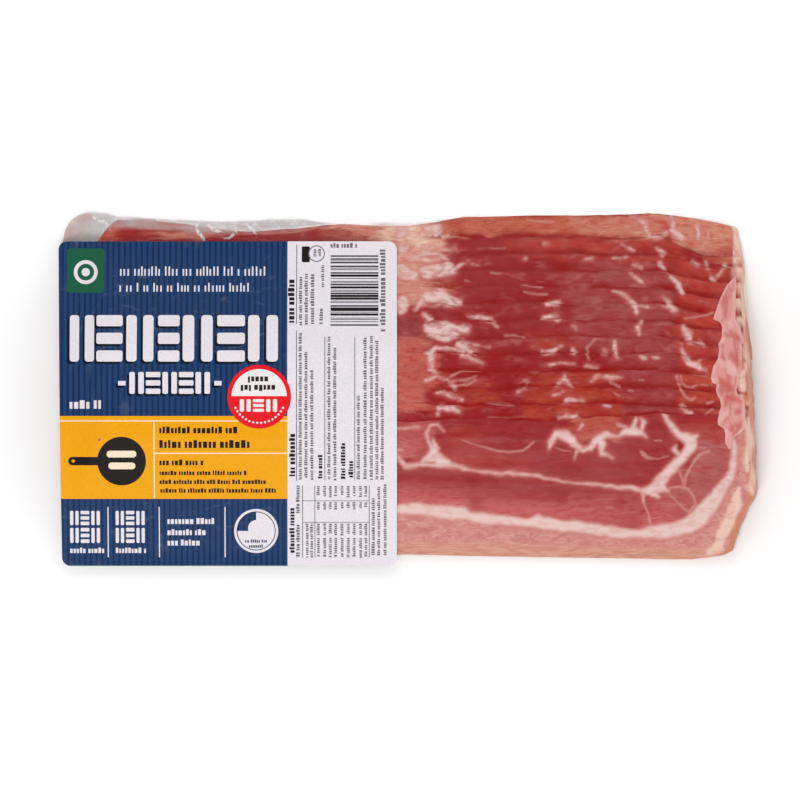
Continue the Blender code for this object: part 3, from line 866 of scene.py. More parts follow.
def marbling(rasher, x, y):
    """The values that the bacon material reads, over a rasher's plan.

    Every rasher is cut like the top one, except in the strip along its back.
    """
    on_top = rasher == TOP_RASHER
    across = back_line(rasher) - y
    top_y = back_line(TOP_RASHER) - across
    top_x = x if on_top else x + 2.5 * smooth_noise(17.3 * rasher, y, 30.0, 52)
    strip_x = x + 0.9 * smooth_noise(x, y + 31 * rasher, 6.0, 50)
    strip_y = y + 0.7 * smooth_noise(x + 17 * rasher, y, 6.0, 51)
    ragged_y = top_y + (0.35 * smooth_noise(x, y, 2.2, 53) + 0.3 * smooth_noise(x, y, 5.0, 58))

    fat = stroke_depth(TOP_RASHER_FAT + (WHITE_BAND,), top_x, ragged_y)
    veins = stroke_depth(VEINS, top_x, top_y)
    band_y = along([(at_x, at_y) for at_x, at_y, _ in WHITE_BAND[: WHITE_BAND_TURN + 1]], top_x)
    band_x = along([(at_y, at_x) for at_x, at_y, _ in WHITE_BAND[WHITE_BAND_TURN:]], top_y)
    colour = top_tone(rasher, x, y, top_x, top_y, band_y)
    # Painted shade of a gap beside the forked seam.
    gap_x, gap_y, gap_half = GAP_SHADE
    seam = ramp(1.6 - 1.6 * np.hypot((top_x - gap_x) * 1.8, top_y - gap_y) / gap_half)
    if not on_top:
        inner = ramp((across - 10) / 2)
        fat = np.where(inner > 0.5, fat, stroke_depth(STRIP_FAT, strip_x, strip_y))
        veins = np.where(inner > 0.5, veins, stroke_depth(STRIP_VEINS, strip_x, strip_y))
        colour = colour * inner[..., None] + strip_tone(rasher, x, y) * (1 - inner[..., None])
        # Painted shade, with the dark red of meat juice, in the crease where the next rasher begins.
        seam = seam_juice_and_shade(rasher, x, y) * (1 - inner)
        seam *= ramp((x - SEAM_SHADE_START) / SEAM_SHADE_GROWTH + 0.4)
    return {
        "tone": colour,
        "fat": fat,
        "vein": veins,
        "web": np.maximum(ramp((band_y - top_y) / 1.5), ramp((top_x - band_x) / 1.5)),
        "rind": ramp((along(RIND_LINE, top_x) - top_y) / 3 + 0.5),
        # seam: painted shade and juice red in the creases, and the painted shade of the gap in the top
        # rasher.
        "seam": seam,
        "stripe": stroke_depth(END_STRIPES, strip_x, y),
        "ragged": 0.12 + 0.18 * ramp((top_y + 42) / 8) if on_top else np.ones(x.shape),
    }


def stack_top(x, y):
    """The height of the whole stack of rashers, and 0 beside it."""
    top = np.zeros(np.broadcast(x, y).shape)
    for rasher in range(RASHER_COUNT):
        share = body_share(rasher, x, y)
        height = underside_height(rasher, x, y) + thickness(rasher, x, y) * share
        top = np.where(share > 0, np.maximum(top, height), top)
    return top


def fold_edges(y):
    """The left and right edges of the fold of fat at y."""
    places, lefts, rights = (values[::-1] for values in zip(*FOLD))
    return np.interp(y, places, lefts), np.interp(y, places, rights)


def make_fold(material):
    """A thin sheet of fat that hangs over the right ends of the middle rashers."""
    rows = np.linspace(FOLD[0][0], FOLD[-1][0], FOLD_ROWS)[:, None]
    left, right = fold_edges(rows)
    middle, half = (left + right) / 2, (right - left) / 2
    across = np.linspace(-1, 1, FOLD_COLUMNS)[None, :]
    across = np.sign(across) * (1 - (1 - np.abs(across)) ** 1.5)
    y = rows + 0.3 * smooth_noise(across * 3, rows, 3.0, 93)
    x = middle + half * across + 0.25 * smooth_noise(rows, across, 2.0, 91)
    from_rim = (1 - np.abs(across)) * half
    edge = round_over(from_rim, 0.7) * np.ones(x.shape)
    edge[0, :] = edge[-1, :] = edge[:, 0] = edge[:, -1] = 0
    creases = 0.5 + 0.5 * smooth_noise(x * 1.6 + 0.5 * y, y * 0.5, 3.2, 92)
    stack = stack_top(x, y) + FOLD_LIFT
    low = stack.copy()
    for _ in range(FOLD_SMOOTHING_PASSES):
        low[1:-1, 1:-1] = neighbour_mean(low)[1:-1, 1:-1]
    low = np.maximum(low, stack)
    high = low + FOLD_THICKNESS * edge * (0.55 + 0.9 * creases)
    piece = closed_slab("fat_fold", x, y, low, high)
    # Painted shade in the hollows and painted highlights on the ridges.
    add_values(piece, "hollow_shade", on_both_faces(stroke_depth(FOLD_HOLLOW_SHADES, x, y)))
    add_values(piece, "ridge_highlight", on_both_faces(stroke_depth(FOLD_RIDGE_HIGHLIGHTS, x, y)))
    add_values(piece, "fold", on_both_faces(from_rim))
    place = [on_both_faces(x), on_both_faces(y), on_both_faces(high, low)]
    add_vectors(piece, "place", np.stack(place, axis=1))
    dress(piece, [material], "bacon_pack")


def make_rasher(rasher, material):
    """One rasher, as a closed slab with its marbling stored on it."""
    x, y = rasher_plan(rasher)
    low = underside_height(rasher, x, y)
    share = body_share(rasher, x, y)
    share[0, :] = share[-1, :] = share[:, 0] = share[:, -1] = 0
    high = low + thickness(rasher, x, y) * share
    piece = closed_slab(f"rasher_{rasher + 1:02d}", x, y, low, high)
    for name, values in marbling(rasher, x, y).items():
        if values.ndim == 3:
            channels = [on_both_faces(values[..., channel]) for channel in range(3)]
            add_vectors(piece, name, np.stack(channels, axis=1))
        else:
            add_values(piece, name, on_both_faces(values))
    add_values(piece, "end", on_both_faces(right_end(rasher, y) - x))
    across = back_edge(rasher, x) - y
    place = [on_both_faces(x), on_both_faces(across), GRAIN_SHIFT * rasher + on_both_faces(high, low)]
    add_vectors(piece, "place", np.stack(place, axis=1))
    dress(piece, [material], "bacon_pack")


# ---------------------------------------------------------------------------------------------------------
# The film
# ---------------------------------------------------------------------------------------------------------


class Field:
    """Heights on an even grid over the pack, which can be read anywhere between its points."""

    def __init__(self, low, high):
        self.left = low.x / MM - FIELD_MARGIN
        self.front = low.y / MM - FIELD_MARGIN
        columns = int((high.x / MM + FIELD_MARGIN - self.left) / FIELD_STEP) + 2
        rows = int((high.y / MM + FIELD_MARGIN - self.front) / FIELD_STEP) + 2
        self.x = self.left + FIELD_STEP * np.arange(columns)[None, :] + np.zeros((rows, 1))
        self.y = self.front + FIELD_STEP * np.arange(rows)[:, None] + np.zeros((1, columns))

    def read(self, heights, x, y):
        """The height at each point, between the four grid points round it."""
        rows, columns = heights.shape
        u = np.clip((np.asarray(x) - self.left) / FIELD_STEP, 0, columns - 1.001)
        v = np.clip((np.asarray(y) - self.front) / FIELD_STEP, 0, rows - 1.001)
        i, j = u.astype(int), v.astype(int)
        fu, fv = u - i, v - j
        near = heights[j, i] * (1 - fu) + heights[j, i + 1] * fu
        far = heights[j + 1, i] * (1 - fu) + heights[j + 1, i + 1] * fu
        return near * (1 - fv) + far * fv


def draw_tight(obstacle, held, bend_radius, passes):
    """A sheet drawn tight over an obstacle. It stays on the obstacle where held says so."""
    sag = FIELD_STEP**2 / (4 * bend_radius)
    sheet = obstacle.copy()
    for _ in range(passes):
        sheet = np.where(held, obstacle, np.maximum(obstacle, neighbour_mean(sheet) - sag))
    return sheet


def stack_surfaces(field):
    """The top and the underside of all the rashers together. Beside them the underside is nowhere."""
    base = np.full(field.x.shape, NOWHERE)
    for rasher in range(RASHER_COUNT):
        present = body_share(rasher, field.x, field.y) > 0
        low = underside_height(rasher, field.x, field.y)
        base = np.where(present, np.minimum(base, low), base)
    top = stack_top(field.x, field.y)
    left, right = fold_edges(field.y)
    inside = np.minimum(np.minimum(field.x - left, right - field.x), FOLD[0][0] - field.y)
    fold = ramp(np.minimum(inside, field.y - FOLD[-1][0]) + 0.5)
    return top + FOLD_ROOM * FOLD_THICKNESS * fold * (top > 0), base


def plan_outline(node, count):
    """The plan outline of a CAD node, found by casting rays down on it, anticlockwise from the right."""
    mesh = node.data
    tree = BVHTree.FromPolygons([v.co for v in mesh.vertices], [p.vertices for p in mesh.polygons])
    low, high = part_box(node.name)
    middle = (low + high) / 2
    reach = (high - low) / 2

    def over(x, y):
        return tree.ray_cast(Vector((x, y, high.z + 1)), Vector((0, 0, -1)))[0] is not None

    outline = []
    for index in range(count):
        turn = 2 * math.pi * index / count
        aim_x, aim_y = math.cos(turn), math.sin(turn)
        stretch = (abs(aim_x) ** 4 + abs(aim_y) ** 4) ** -0.25
        aim_x, aim_y = aim_x * stretch * reach.x, aim_y * stretch * reach.y
        inside, outside = RIM_SEARCH_SHARES
        for _ in range(RIM_SEARCH_STEPS):
            share = (inside + outside) / 2
            if over(middle.x + share * aim_x, middle.y + share * aim_y):
                inside = share
            else:
                outside = share
        outline.append(((middle.x + inside * aim_x) / MM, (middle.y + inside * aim_y) / MM))
    return np.array(outline)


def inside_outline(outline, x, y):
    """Whether each point lies inside a closed outline."""
    inside = np.zeros(np.shape(x), bool)
    for (x1, y1), (x2, y2) in zip(outline, np.roll(outline, -1, axis=0)):
        if y1 != y2:
            crossing = x1 + (y - y1) * (x2 - x1) / (y2 - y1)
            inside ^= ((y1 > y) != (y2 > y)) & (x < crossing)
    return inside


def grid_points(low, high, step, wobble, seed):
    """Points on a grid over a box, moved a little at random so that no long rows of triangles form."""
    x, y = np.meshgrid(np.arange(low[0], high[0], step), np.arange(low[1], high[1], step))
    shift = np.random.default_rng(seed).uniform(-wobble, wobble, (2,) + x.shape)
    return np.stack([(x + shift[0]).ravel(), (y + shift[1]).ravel()], axis=1)


def triangulated(outlines, loose_points, boundary):
    """Triangles inside the boundary that keep every outline's edges: (points, triangles)."""
    points = []
    edges = []
    for outline in outlines:
        first = len(points)
        points += [Vector(point) for point in outline]
        edges += [(first + index, first + (index + 1) % len(outline)) for index in range(len(outline))]
    points += [Vector(point) for point in loose_points]
    flat, _, triangles, *_ = delaunay_2d_cdt(points, edges, [], 0, 1e-5)
    flat = np.array(flat)
    triangles = np.array(triangles)
    corners = flat[triangles]
    middles = corners.mean(axis=1)
    triangles = triangles[inside_outline(boundary, middles[:, 0], middles[:, 1])]
    first, second, third = (flat[triangles[:, corner]] for corner in range(3))
    turn = (second - first)[:, 0] * (third - first)[:, 1] - (second - first)[:, 1] * (third - first)[:, 0]
    triangles[turn < 0] = triangles[turn < 0][:, ::-1]
    used, triangles = np.unique(triangles, return_inverse=True)
    return flat[used], triangles.reshape(-1, 3)


def divided(outline, longest):
    """The outline with its long edges divided, so that it can follow a curved sheet."""
    points = []
    for (x1, y1), (x2, y2) in zip(outline, np.roll(outline, -1, axis=0)):
        count = max(1, math.ceil(math.hypot(x2 - x1, y2 - y1) / longest))
        points += [(x1 + (x2 - x1) * part / count, y1 + (y2 - y1) * part / count) for part in range(count)]
    return points


def rim_edges(triangles):
    """The edges that only one triangle has, each in that triangle's direction."""
    edges = np.concatenate([triangles[:, [0, 1]], triangles[:, [1, 2]], triangles[:, [2, 0]]])
    _, index, count = np.unique(np.sort(edges, axis=1), axis=0, return_index=True, return_counts=True)
    return edges[index[count == 1]]


def sheet_piece(name, flat, triangles, low, high, rim_shared):
    """A closed piece between two heights over flat triangles. A shared rim is one edge, otherwise a wall."""
    count = len(flat)
    lower = np.arange(count, 2 * count)
    rim = rim_edges(triangles)
    points = np.concatenate([np.column_stack([flat, high]), np.column_stack([flat, low])])
    faces = [triangles, None]
    if rim_shared:
        lower[rim[:, 0]] = rim[:, 0]
    else:
        first, second = rim[:, 0], rim[:, 1]
        faces.append(np.stack([first, lower[first], lower[second]], axis=1))
        faces.append(np.stack([first, lower[second], second], axis=1))
    faces[1] = lower[triangles][:, ::-1]
    faces = np.concatenate(faces)
    used, faces = np.unique(faces, return_inverse=True)
    return new_piece(name, points[used], faces.reshape(-1, 3)), used % count


def blurred(values, passes):
    """A grid of values smoothed over its neighbours again and again."""
    for _ in range(passes):
        values = neighbour_mean(values)
    return values


def film_surfaces(field, outline):
    """The heights of the film's upper and lower sheets over the field, and where it lies beside the meat."""
    stack, base = stack_surfaces(field)
    outside = ~inside_outline(outline, field.x, field.y)
    rise = ramp((field.x - SEAM_RISE_START) / SEAM_RISE_LENGTH)
    share = LEFT_SEAM_SHARE + (RIGHT_SEAM_SHARE - LEFT_SEAM_SHARE) * rise
    seam = np.maximum(share * blurred(stack, SEAM_BLUR_PASSES), SEAM_FLOOR)
    meat = base < NOWHERE
    over = np.where(outside, seam, np.where(meat, np.maximum(stack, seam), 0) + FILM_OFFSET)
    upper = draw_tight(over, outside, FILM_BEND_RADIUS, FILM_RELAX_PASSES)
    under = np.where(outside, seam, np.where(meat, np.maximum(base - FILM_OFFSET, FILM_FLOOR), NOWHERE))
    lower = -draw_tight(-under, outside, FILM_BEND_RADIUS, FILM_RELAX_PASSES)
    lower = np.clip(lower, FILM_FLOOR, upper - FILM_FLOOR)
    return upper, lower, blurred((~meat).astype(float), SLACK_BLUR_PASSES)


def make_film(field, outline, upper, lower, beside, material):
    """The clear film: one closed piece round all the rashers, with slack folds where it lies beside them."""
    loose = grid_points(outline.min(axis=0), outline.max(axis=0), FILM_STEP, FILM_WOBBLE, 31)
    shrunk = outline * (1 - RIM_GAP / np.hypot(outline[:, :1], outline[:, 1:]))
    loose = loose[inside_outline(shrunk, loose[:, 0], loose[:, 1])]
    flat, triangles = triangulated([outline], loose, outline)
    x, y = flat[:, 0], flat[:, 1]
    slack = ramp((field.read(beside, x, y) - 0.45) / 0.4)
    slack = slack * ramp((SLACK_RIGHT - x) / 20) * ramp((y - SLACK_FRONT) / 8)
    veil = VEIL_STRENGTH * ramp(stroke_depth(FILM_VEILS, x, y) / 1.6 + 0.5)
    ripple = 0.5 + 0.5 * smooth_noise(x + 0.4 * y, y * 2.0, 5.0, 61)
    ripple = ripple + 0.3 * smooth_noise(x, y * 1.5, 2.2, 62)
    creases = stroke_depth(FILM_CREASES, x, y)
    top = field.read(upper, x, y) + RIPPLE_HEIGHT * ramp(ripple) * slack
    top = top + RIPPLE_HEIGHT * ramp((creases + 0.6) / 1.2)
    low = np.minimum(field.read(lower, x, y), top - FILM_FLOOR)
    piece, source = sheet_piece("film", flat, triangles, low, top, True)
    add_values(piece, "slack", np.maximum(slack, veil)[source])
    # The creases carry a painted white highlight.
    add_values(piece, "crease_highlight", creases[source])
    dress(piece, [material], "bacon_pack")


# ---------------------------------------------------------------------------------------------------------
# The label and the sticker
# ---------------------------------------------------------------------------------------------------------


def block(left, top, right, bottom):
    """A rectangle with sharp corners."""
    return [(left, top), (right, top), (right, bottom), (left, bottom)]


def arc_points(centre_x, centre_y, radius, start, stop, steps):
    """Points along an arc between two angles."""
    angles = [start + (stop - start) * step / steps for step in range(steps + 1)]
    return [(centre_x + radius * math.cos(angle), centre_y + radius * math.sin(angle)) for angle in angles]


def round_block(left, top, right, bottom, radius, steps=4):
    """A rectangle with round corners."""
    centres = (
        (right - radius, bottom - radius),
        (left + radius, bottom - radius),
        (left + radius, top + radius),
        (right - radius, top + radius),
    )
    points = []
    for quarter, (centre_x, centre_y) in enumerate(centres):
        start = quarter * math.pi / 2
        points += arc_points(centre_x, centre_y, radius, start, start + math.pi / 2, steps)
    return points


def disc(centre_x, centre_y, radius, steps=40):
    """A circle with this many corners."""
    return arc_points(centre_x, centre_y, radius, 0, 2 * math.pi, steps)[:-1]


def letter_row(left, right, top, bottom, draws):
    """Small plain blocks in a row, as wide as letters, with wider gaps between words."""
    height = bottom - top
    shapes = []
    start = left
    while start < right - 0.4 * height:
        for _ in range(draws.integers(3, 9)):
            stop = start + height * draws.uniform(0.3, 0.6)
            if stop < right:
                shapes.append(block(start, top + height * draws.choice((0.0, 0.2, 0.2)), stop, bottom))
            start = stop + 0.18 * height
        start += 0.35 * height
    return shapes


def turned(shapes):
    """The same shapes with their length down the label, as print that is turned on its side."""
    return [[(y, x) for x, y in shape] for shape in shapes]


def letter_column(left, right, top, bottom, draws):
    """A letter row that is turned on its side."""
    return turned(letter_row(top, bottom, left, right, draws))


def big_shape(left, right, top, bottom, stacked):
    """Bars as thick as bold strokes: two upright ones, or three stacked ones."""
    if stacked:
        bar = (bottom - top) * 0.24
        gap = (bottom - top - 3 * bar) / 2
        tops = [top + index * (bar + gap) for index in range(3)]
        return [round_block(left, start, right, start + bar, 0.2 * bar) for start in tops]
    bar = (right - left) * 0.385
    return [round_block(start, top, start + bar, bottom, 0.3 * bar) for start in (left, right - bar)]


def big_row(spans, top, bottom):
    """Upright and stacked bars in turn, one group for each span of (left, right)."""
    groups = [big_shape(left, right, top, bottom, index % 2) for index, (left, right) in enumerate(spans)]
    return [shape for group in groups for shape in group]


def inked(ink, shapes):
    """Each of the shapes paired with one ink."""
    return [(ink, shape) for shape in shapes]


def moved(shapes, x_shift, y_shift):
    """The same shapes in another place."""
    return [[(x + x_shift, y + y_shift) for x, y in shape] for shape in shapes]


# The print is laid out in millimetres from the label's back left corner. The blue part ends at BLUE_RIGHT.
PRINT_WIDTH = 121.1
PRINT_DEPTH = 116.4
BLUE_RIGHT = 82.0

# Two rows of thin upright strokes, as (left, right, top, bottom), over a row of big bars in these spans.
HEADINGS = ((22.2, 73.6, 9.4, 12.7), (22.0, 68.5, 15.3, 18.4))
BIG_SPANS = ((4.3, 13.1), (13.9, 23.3), (24.6, 34.3), (35.9, 43.6), (44.7, 55.4), (57.0, 66.9), (68.0, 78.7))

RING_CENTRE = (9.9, 11.4)
PAN_CENTRE = (22.9, 78.9)
BADGE_CENTRE = (70.8, 103.9)

# The lines of text in the yellow band: (left, right, top, bottom).
BAND_TEXT = (
    (36.4, 64.8, 66.6, 69.0),
    (36.4, 69.9, 71.4, 74.2),
    (36.4, 52.2, 78.3, 80.4),
    (36.4, 68.0, 82.3, 83.9),
    (36.4, 74.7, 85.5, 87.1),
    (36.7, 77.9, 88.6, 90.2),
)


def label_front_print():
    """The (ink, shape) pairs of the blue part: a square with a ring, and the big and small words."""
    draws = np.random.default_rng(71)
    shapes = [
        ("blue", block(0, 0, BLUE_RIGHT, PRINT_DEPTH)),
        ("green", round_block(3.2, 2.9, 16.6, 18.8, 1.2)),
        ("white", disc(*RING_CENTRE, 4.3)),
        ("green", disc(*RING_CENTRE, 3.0)),
        ("white", disc(*RING_CENTRE, 1.5, 24)),
    ]
    for left, right, top, bottom in HEADINGS:
        start = left
        while start < right:
            tall = draws.choice((0.0, 0.9, 0.9))
            shapes.append(("white", block(start, top + tall, start + 0.55, bottom)))
            start += draws.choice((1.1, 1.25, 1.4, 2.4))
    small_spans = [(25.7 + 5.9 * index, 30.9 + 5.9 * index) for index in range(5)]
    big = big_row(BIG_SPANS, 26.8, 43.4) + big_row(small_spans, 47.1, 54.9)
    big += [block(21.7, 50.3, 24.4, 51.9), block(56.0, 50.3, 58.6, 51.9)]
    shapes += inked("shadow", moved(big, -0.8, 0.8)) + inked("white", big)
    shapes += inked("white", letter_row(4.3, 16.3, 57.2, 60.2, draws))
    return shapes


def band_print():
    """The yellow band with its pan, and the blue field's bottom band."""
    draws = np.random.default_rng(72)
    shapes = [
        ("yellow", block(0, 62.8, BLUE_RIGHT, 92.4)),
        ("cream", block(0, 64.35, BLUE_RIGHT, 64.75)),
        ("cream", block(34.3, 64.5, 34.7, 92.2)),
        ("cream", block(34.5, 75.9, BLUE_RIGHT, 76.3)),
        ("black", disc(*PAN_CENTRE, 8.7)),
        ("black", round_block(3.8, 77.4, 15.5, 80.4, 1.4)),
        ("yellow", disc(5.6, PAN_CENTRE[1], 0.6, 12)),
        ("cream", round_block(17.6, 75.2, 28.2, 77.6, 1.1)),
        ("cream", round_block(18.2, 79.4, 27.8, 81.8, 1.1)),
    ]
    for left, right, top, bottom in BAND_TEXT:
        shapes += inked("black", letter_row(left, right, top, bottom, draws))
    for line in (17.9, 36.2, 59.7):
        shapes.append(("white", block(line - 0.2, 95.3, line + 0.2, 113.3)))
    for left, right in ((4.3, 15.0), (20.6, 31.0)):
        step = (right - left + 0.7) / 3
        spans = [(left + step * index, left + step * index + step - 0.7) for index in range(3)]
        for top, bottom in ((96.7, 101.8), (102.8, 108.2)):
            shapes += inked("white", big_row(spans, top, bottom))
        shapes += inked("white", letter_row(left, right + 1.5, 109.9, 111.8, draws))
    for top, right in ((99.3, 56.7), (103.3, 54.6), (107.0, 51.1)):
        shapes += inked("white", letter_row(39.1, right, top, top + 2.1, draws))
    badge_x, badge_y = BADGE_CENTRE
    wedge = [BADGE_CENTRE] + arc_points(badge_x, badge_y, 6.7, math.pi, 1.5 * math.pi, 10)
    shapes += [
        ("white", disc(badge_x, badge_y, 7.9)),
        ("shadow", disc(badge_x, badge_y, 7.0)),
        ("white", disc(badge_x, badge_y, 6.7)),
        ("blue", wedge),
        ("white", disc(badge_x, badge_y - 1, 2.9, 24)),
    ]
    for top, half in ((107.0, 4.0), (108.8, 2.6)):
        shapes += inked("blue", letter_row(badge_x - half, badge_x + half, top, top + 1.1, draws))
    return shapes


# The turned text of the white panel: (ink, left, right, top, bottom) of each line. The left edges of the
# table's lines of cells follow.
PANEL_TEXT = (
    ("black", 82.2, 84.5, 14.1, 30.9),
    ("grey", 86.1, 87.3, 13.2, 30.9),
    ("grey", 88.0, 89.3, 12.0, 30.9),
    ("grey", 90.2, 91.6, 12.2, 30.9),
    ("grey", 94.0, 95.1, 9.0, 17.2),
    ("grey", 93.4, 94.7, 24.6, 30.7),
    ("grey", 115.0, 117.0, 3.3, 30.5),
    ("grey", 115.0, 117.0, 31.9, 33.6),
    ("grey", 86.0, 87.2, 33.2, 86.0),
    ("grey", 88.0, 89.2, 40.0, 86.0),
    ("grey", 90.1, 91.3, 46.5, 86.0),
    ("black", 82.7, 84.8, 69.2, 86.0),
    ("black", 92.9, 94.5, 76.7, 86.0),
    ("grey", 96.2, 97.4, 34.5, 86.0),
    ("grey", 98.3, 99.5, 38.5, 86.0),
    ("black", 101.1, 102.7, 72.5, 86.0),
    ("black", 103.8, 105.5, 78.9, 86.0),
    ("grey", 106.7, 107.9, 55.6, 86.0),
    ("grey", 109.1, 110.3, 34.9, 86.0),
    ("grey", 111.3, 112.5, 34.3, 86.0),
    ("grey", 113.3, 114.5, 36.0, 86.0),
    ("grey", 115.2, 116.4, 52.8, 86.0),
    ("black", 82.7, 84.5, 95.7, 113.5),
    ("grey", 85.0, 86.4, 87.6, 97.8),
    ("grey", 85.0, 86.4, 101.7, 113.5),
    ("grey", 88.4, 89.5, 101.3, 113.5),
    ("grey", 90.0, 91.1, 101.3, 113.5),
    ("grey", 112.0, 113.2, 92.2, 113.5),
    ("grey", 114.0, 115.1, 88.1, 113.5),
    ("grey", 116.2, 117.4, 87.2, 113.5),
)
TABLE_CELL_LINES = (92.4, 94.7, 96.7, 98.6, 100.9, 103.1, 105.2, 107.5, 109.4)

# The barcode's bars lie across the label. The thick ones have places of their own, and the rest are random.
BARCODE_SIDES = (97.4, 114.5)
BARCODE_ENDS = (5.4, 30.5)
BARCODE_THICK = (12.7, 16.9, 19.9, 20.9, 24.7, 26.6)

# The straight rules of the white panel, down the label: (x, top, bottom).
PANEL_RULES = (
    (85.3, 1.6, 30.0),
    (85.3, 32.4, 86.0),
    (95.4, 34.5, 85.8),
    (106.1, 34.5, 85.8),
    (87.4, 87.6, 113.5),
    (91.8, 87.6, 113.5),
    (111.2, 87.6, 113.5),
)


def panel_print():
    """The white panel's barcode, its small marks, its turned text and its table."""
    draws = np.random.default_rng(73)
    shapes = [("white", block(BLUE_RIGHT, 0, PRINT_WIDTH, PRINT_DEPTH))]
    left, right = BARCODE_SIDES
    shapes += [("black", block(left, middle - 0.4, right, middle + 0.4)) for middle in BARCODE_THICK]
    start, stop = BARCODE_ENDS
    while start < stop:
        bar = draws.choice((0.26, 0.26, 0.53))
        shapes.append(("black", block(left, start, right, start + bar)))
        start += bar + draws.choice((0.26, 0.53, 0.79))
    shapes += inked("grey", letter_row(97.4, 107.1, 1.0, 2.7, draws))
    shapes.append(("black", round_block(87.1, 2.2, 90.0, 7.9, 0.5)))
    shapes.append(("grey", disc(92.4, 4.8, 2.97)))
    shapes.append(("white", disc(92.4, 4.8, 2.6)))
    shapes += inked("grey", letter_column(91.2, 92.3, 3.2, 6.4, draws))
    shapes += inked("grey", letter_column(92.9, 94.0, 3.2, 6.4, draws))
    for ink, left, right, top, bottom in PANEL_TEXT:
        shapes += inked(ink, letter_column(left, right, top, bottom, draws))
    for line in TABLE_CELL_LINES:
        for top, bottom in ((87.8, 92.0), (93.6, 96.3), (101.3, 105.6), (106.4, 113.5)):
            shapes += inked("grey", letter_column(line, line + 1.1, top, bottom, draws))
    for x_line, top, bottom in PANEL_RULES:
        shapes.append(("black", block(x_line - 0.12, top, x_line + 0.12, bottom)))
    for y_line in (93.1, 100.8):
        shapes.append(("black", block(87.4, y_line - 0.1, 111.2, y_line + 0.1)))
    return shapes


def ink_numbers(shapes, inks, x, y):
    """The ink that each point has, from shapes painted in order."""
    numbers = np.zeros(len(x), np.int32)
    for ink, shape in shapes:
        corners = np.array(shape)
        low, high = corners.min(axis=0), corners.max(axis=0)
        near = np.flatnonzero((x > low[0]) & (x < high[0]) & (y > low[1]) & (y < high[1]))
        numbers[near[inside_outline(corners, x[near], y[near])]] = inks.index(ink)
    return numbers


def printed_sheet(name, shapes, boundary, step, low_at, thick, inks):
    """A closed sheet of paper in its own flat millimetres, with each triangle in its ink's material."""
    low, high = boundary.min(axis=0), boundary.max(axis=0)
    loose = grid_points(low + step / 2, high - step / 3, step, step / 12, 81)
    loose = loose[inside_outline(boundary, loose[:, 0], loose[:, 1])]
    outlines = [divided(outline, step) for outline in [boundary] + [shape for _, shape in shapes]]
    flat, triangles = triangulated(outlines, loose, boundary)
    names = sorted(inks)
    middles = flat[triangles].mean(axis=1)
    ink = ink_numbers(shapes, names, middles[:, 0], middles[:, 1])
    base = low_at(flat[:, 0], flat[:, 1])
    rim_count = len(rim_edges(triangles))
    piece, source = sheet_piece(name, flat, triangles, base, base + thick, False)
    paper = names.index("paper")
    numbers = np.concatenate([ink, np.full(len(triangles) + 2 * rim_count, paper, np.int32)])
    dress(piece, [inks[ink_name] for ink_name in names], name)
    piece.data.polygons.foreach_set("material_index", numbers)
    add_vectors(piece, "place", np.column_stack([flat, base])[source])


def make_label(field, film_top, inks):
    """The printed label, laid on the film. Gives the function that reads its height."""
    low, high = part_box("label")
    left, back = low.x / MM, high.y / MM
    width, depth = (high.x - low.x) / MM, (high.y - low.y) / MM
    covered = (field.x > left - 1) & (field.x < left + width + 1)
    covered &= (field.y > low.y / MM - 1) & (field.y < back + 1)
    rows = np.flatnonzero(covered.any(axis=1))
    columns = np.flatnonzero(covered.any(axis=0))
    window = (slice(rows[0], rows[-1] + 1), slice(columns[0], columns[-1] + 1))
    paper = film_top.copy()
    under = film_top[window] + LABEL_CLEARANCE
    paper[window] = draw_tight(under, np.zeros(under.shape, bool), PAPER_BEND_RADIUS, PAPER_RELAX_PASSES)

    def height_at(x, y):
        return field.read(paper, x, y)

    shapes = label_front_print() + band_print() + panel_print()
    shapes = [(ink, [(left + x, back - y) for x, y in shape]) for ink, shape in shapes]
    boundary = []
    for x, y in round_block(0, LABEL_BACK_GAP, width, depth, LABEL_CORNER_RADIUS, 8):
        taper = LABEL_TAPER * (1 - x / width) * min(1, LABEL_TAPER_RATE * y / depth)
        boundary.append((left + x + taper, back - y))
    printed_sheet(
        "label", shapes, np.array(boundary), LABEL_GRID_STEP, height_at, LABEL_THICKNESS, inks
    )
    return height_at


def make_sticker(label_height, inks):
    """The round sticker on the label: red, with its lower half white."""
    low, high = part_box("price_sticker")
    centre_x, centre_y = (low.x + high.x) / 2 / MM, (low.y + high.y) / 2 / MM
    radius = (high.x - low.x) / 2 / MM
    draws = np.random.default_rng(75)
    shapes = [("red", disc(0, 0, radius, STICKER_CORNERS))]
    shapes.append(("paper", arc_points(0, 0, radius - STICKER_RIM, 0.02, math.pi - 0.02, 32)))
    for low_y, half in ((5.0, 4.0), (2.0, 6.6)):
        shapes += inked("black", letter_row(-half, half, low_y, low_y + 2.2, draws))
    spans = [(-6.9 + 4.7 * index, -6.9 + 4.7 * index + 3.9) for index in range(3)]
    shapes += inked("paper", big_row(spans, -5.4, -0.9))
    dots = radius - 2.0
    for turn in np.linspace(1.14, 1.86, 16) * math.pi:
        shapes.append(("paper", disc(dots * math.cos(turn), dots * math.sin(turn), 0.42, 8)))
    shapes = [(ink, [(centre_x + x, centre_y + y) for x, y in shape]) for ink, shape in shapes]
    boundary = np.array(disc(centre_x, centre_y, radius, STICKER_CORNERS))

    def height_at(x, y):
        return label_height(x, y) + LABEL_THICKNESS + STICKER_CLEARANCE

    step, thick = STICKER_GRID_STEP, STICKER_THICKNESS
    printed_sheet("price_sticker", shapes, boundary, step, height_at, thick, inks)


# ---------------------------------------------------------------------------------------------------------
# Materials
# ---------------------------------------------------------------------------------------------------------

SURFACE_IOR = 1.4
WHITE = (1, 1, 1, 1)


